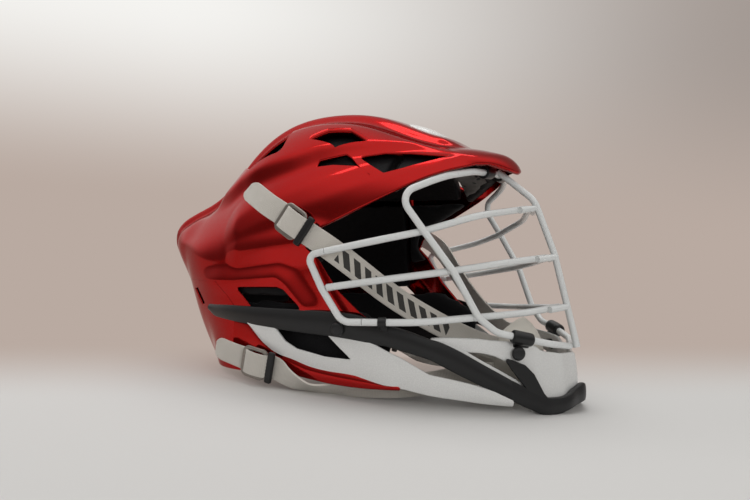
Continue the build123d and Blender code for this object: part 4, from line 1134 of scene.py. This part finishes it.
# Clips: a sleeve round the wire, narrower at its ends, with a tab that goes in behind the guard.
clipSet = {"places": (0, 0.08, 0.24, 1.0, 1.76, 1.92, 2.0),
           "shares": (0.825, 0.958, 1, 1, 1, 0.958, 0.825), "sides": 28,
           "chin": {"wire": [(139.6, -51.2, 53.3), (145.0, -46.4, 51.7), (149.8, -40.3, 50.1)],
                    "radius": 4.7, "tabSize": (12.0, 3.0),
                    "tab": [(144.6, -45.2, 49.5), (142.0, -41.6, 44.0), (140.6, -40.4, 38.0)]},
           "side": {"wire": [(65.8, -106.1, 64.0), (68.4, -105.3, 64.0), (71.0, -104.4, 64.0)],
                    "radius": 3.5, "tabSize": (5.0, 2.4),
                    "tab": [(68.4, -104.2, 62.5), (68.3, -101.6, 59.0), (68.2, -99.5, 56.0)]}}
angles = np.linspace(0, 2 * math.pi, clipSet["sides"], endpoint=False)
circle = np.array([(math.cos(a), math.sin(a)) for a in angles])[::-1]
for name in ("chin", "side"):
    clip = clipSet[name]
    line = smoothCurve([0, 1, 2], clip["wire"], clipSet["places"])
    run = unit(np.gradient(line, axis=0))
    out = np.cross(unit(np.cross(run, (0, 0, 1.0))), run)
    ends = np.array(clipSet["shares"])[:, None]
    sleeve = sweepSection(line, np.cross(out, run), out, circle * clip["radius"], ends)
    tab = np.array(clip["tab"], float)
    down = unit(np.gradient(tab, axis=0))
    tongue = sweepSection(tab, run[3], np.cross(down, run[3]), roundedProfile(*clip["tabSize"], 0.9, flats=3))
    for side, mirrored in sides:
        addPiece(name + "Clip" + side.capitalize(), joined(sleeve, tongue), "helmet", clipMaterial,
                 [f"{name}_clip_{side}"], mirrored)

# Welds of the cage: a bead where two wires cross, set in from the outer wire's axis.
weldSet = {"size": (3.4, 2.5), "inset": 2.2, "centreX": 40.0, "wireRadius": 2.36, "waves": 5, "wave": 0.06,
           "pairs": [(90, -86, 123.5), (107.5, -78, 97), (121.5, -67.5, 66), (30.6, -110, 86.2)],
           "corners": [((135.5, -17.5, 139.2), (141.8, 0, 141.2)), ((148.0, -17.5, 104.6), (156.6, 0, 106.2)),
                       ((156.7, -17.5, 69.5), (165.0, 0, 71))]}


def weldBead(place):
    place = np.array(place, float)
    out = unit((place[0] - weldSet["centreX"], place[1], 0))
    along, high = weldSet["size"]
    angles = np.linspace(math.pi, 0, 13)
    uneven = 1 + weldSet["wave"] * np.sin(weldSet["waves"] * angles + place[0])
    profile = [(high * math.sin(a) * u, along * math.cos(a)) for a, u in zip(angles, uneven)]
    profile[0], profile[-1] = (0.2, -along), (0.2, along)
    return turned(profile, place - out * weldSet["inset"], unit(np.cross(out, (0, 0, 1))), steps=20)


beads = [weldBead(p) for p in weldSet["pairs"]]
beads += [weldBead((x, -y, z)) for x, y, z in weldSet["pairs"]]
radius = weldSet["wireRadius"]
for start, end in weldSet["corners"]:  # the cross wires run on to the centre bar and join its back
    for flip in (1, otherSide):
        a, b = np.array(start, float) * flip, np.array(end, float)
        beads.append(turned([(radius, 0), (radius, np.linalg.norm(b - a))], a, b - a, steps=20))
addPiece("cageWelds", joined(*beads), "helmet", cageMaterial)
print("screws and welds made")

# Hard CAD pieces that stay get their edges broken, by this many millimetres.
edgeSet = {"widths": {"visor_clips": 0.4, "chin_cup": 0.6, "snap_studs": 0.2}, "weld": 0.02, "angle": 35}
for name, width in edgeSet["widths"].items():
    node = cadNodes[name]
    weld = node.modifiers.new("join", "WELD")
    weld.merge_threshold = edgeSet["weld"] / 1000
    bevel = node.modifiers.new("edges", "BEVEL")
    bevel.width, bevel.segments = width / 1000, 3
    bevel.limit_method, bevel.angle_limit = "ANGLE", math.radians(edgeSet["angle"])
    bevel.harden_normals = True

# Badge: a small raised plate that follows the middle rib. Rows of place, half width and rise.
badgeSet = {"rows": [(47, 9, 0.2), (50, 14, 1.6), (58, 16, 2.6), (66, 15, 2.4), (71, 11, 1.4), (74, 4, 0.2)],
            "steps": 28, "across": 21, "above": 260.0, "fall": 0.35, "sunk": 0.4}


def badgePlate():
    # rays drop onto the shell from above, and the plate stands up from where they land
    s = badgeSet
    tree = BVHTree.FromPolygons([v.co for v in outerShell.data.vertices],
                                [p.vertices for p in outerShell.data.polygons])
    down = restTurn @ np.array((0, 0, -1.0))
    places, widths, rises = zip(*s["rows"])
    points = []
    for x in np.linspace(places[0], places[-1], s["steps"]):
        width, high = float(np.interp(x, places, widths)), float(np.interp(x, places, rises))
        for u in np.linspace(-1, 1, s["across"]):
            hit = tree.ray_cast(Vector(toRest((x, u * width, s["above"]))), Vector(down))[0]
            rise = high * (1 - s["fall"] * abs(u) - (1 if abs(u) == 1 else 0))
            points.append(np.array(hit) * 1000 - down * max(rise, -s["sunk"]))
    n = s["across"]
    faces = [[(r + 1) * n + c, (r + 1) * n + c + 1, r * n + c + 1, r * n + c]
             for r in range(s["steps"] - 1) for c in range(n - 1)]
    return toLevel(points), faces


addPiece("crownBadge", badgePlate(), "helmet", badgeMaterial, ["front_badge"])

# Foam liner: each block copied, remeshed and eased so that its edges are moulded round.
foamSet = {"voxel": 2.4, "turns": 7, "inset": 1.5, "ease": 0.5,
           "blocks": ["crown_liner", "rear_liner", "side_liner_right", "side_liner_left", "brow_liner"]}


def label(name):
    first, *others = name.split("_")
    return first + "".join(w.capitalize() for w in others)


def copyOf(name, voxel):
    # the node's mesh as an object of its own, to be remeshed in even cells
    source = cadNodes[name]
    mesh = source.data.copy()
    mesh.transform(source.matrix_world)
    obj = bpy.data.objects.new(label(name), mesh)
    scene.collection.objects.link(obj)
    remesh = obj.modifiers.new("voxels", "REMESH")
    remesh.mode, remesh.voxel_size, remesh.use_smooth_shade = "VOXEL", voxel / 1000, True
    return obj


def eased(obj, factor, turns):
    ease = obj.modifiers.new("ease", "SMOOTH")
    ease.factor, ease.iterations = factor, turns
    return baked(obj)


def baked(obj):
    bpy.context.view_layer.update()
    mesh = bpy.data.meshes.new_from_object(obj.evaluated_get(bpy.context.evaluated_depsgraph_get()))
    obj.modifiers.clear()
    obj.data = mesh
    return obj


for name in foamSet["blocks"]:
    foam = copyOf(name, foamSet["voxel"])
    shrink = foam.modifiers.new("shrink", "DISPLACE")
    shrink.strength, shrink.mid_level = -foamSet["inset"] / 1000, 0.0
    eased(foam, foamSet["ease"], foamSet["turns"])
    foam.data.materials.clear()
    foam.data.materials.append(foamMaterial)
    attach(foam, "helmet")
    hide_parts(name)
print("liner made")

# Pads: knitted covers over foam, swollen by cloth pressure from the CAD cushions. Each has the
# furthest that its cover may move, of which a share is kept.
padSet = {"voxel": 4.5, "ease": 0.5, "turns": 4, "start": 0.6, "pressure": 4.0, "quality": 4, "frames": 20,
          "share": 0.45,
          "pads": {"crown_pad": 5.0, "rear_pad": 5.0, "nape_pad": 5.0, "temple_pad_right": 5.0,
                   "jaw_pad_right": 6.0, "brow_pad": 5.0, "chin_cup_pad": 3.0},
          "mirrored": {"temple_pad_right": "temple_pad_left", "jaw_pad_right": "jaw_pad_left"},
          "materials": {"brow_pad": browMaterial, "chin_cup_pad": cupPadMaterial}}


def placesOf(mesh):
    places = np.empty(len(mesh.vertices) * 3, np.float32)
    mesh.vertices.foreach_get("co", places)
    return places.reshape(-1, 3).astype(float)


def moveTo(mesh, places):
    mesh.vertices.foreach_set("co", places.astype(np.float32).ravel())


def padPiece(name, cap):
    s = padSet
    pad = eased(copyOf(name, s["voxel"]), s["ease"], s["turns"])
    normals = np.array([v.normal for v in pad.data.vertices])
    start = placesOf(pad.data) - normals * s["start"] / 1000
    moveTo(pad.data, start)
    pad.data.update()
    cloth = pad.modifiers.new("swell", "CLOTH")
    cloth.settings.use_pressure, cloth.settings.uniform_pressure_force = True, s["pressure"]
    cloth.settings.effector_weights.gravity = 0
    cloth.settings.quality = s["quality"]
    cloth.point_cache.frame_start, cloth.point_cache.frame_end = 1, s["frames"]
    for number in range(1, s["frames"] + 1):
        scene.frame_set(number)
    baked(pad)
    move = placesOf(pad.data) - start
    size = np.linalg.norm(move, axis=1, keepdims=True)
    move *= np.minimum(1, cap / 1000 / np.maximum(size, 1e-9))
    moveTo(pad.data, start + move * s["share"])
    scene.frame_set(1)
    smooth = pad.modifiers.new("finish", "SUBSURF")
    smooth.levels = smooth.render_levels = 1
    baked(pad)
    pad.data.polygons.foreach_set("use_smooth", [True] * len(pad.data.polygons))
    return pad


def finishPad(pad, name):
    pad.data.materials.clear()
    pad.data.materials.append(padSet["materials"].get(name, padMaterial))
    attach(pad, "helmet")
    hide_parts(name)


for name, cap in padSet["pads"].items():
    pad = padPiece(name, cap)
    if name in padSet["mirrored"]:
        otherName = padSet["mirrored"][name]
        mesh = pad.data.copy()
        mesh.transform(Matrix.Scale(-1, 4, (0, 1, 0)))
        mesh.flip_normals()
        other = bpy.data.objects.new(label(otherName), mesh)
        scene.collection.objects.link(other)
        finishPad(other, otherName)
    finishPad(pad, name)
print("pads made")
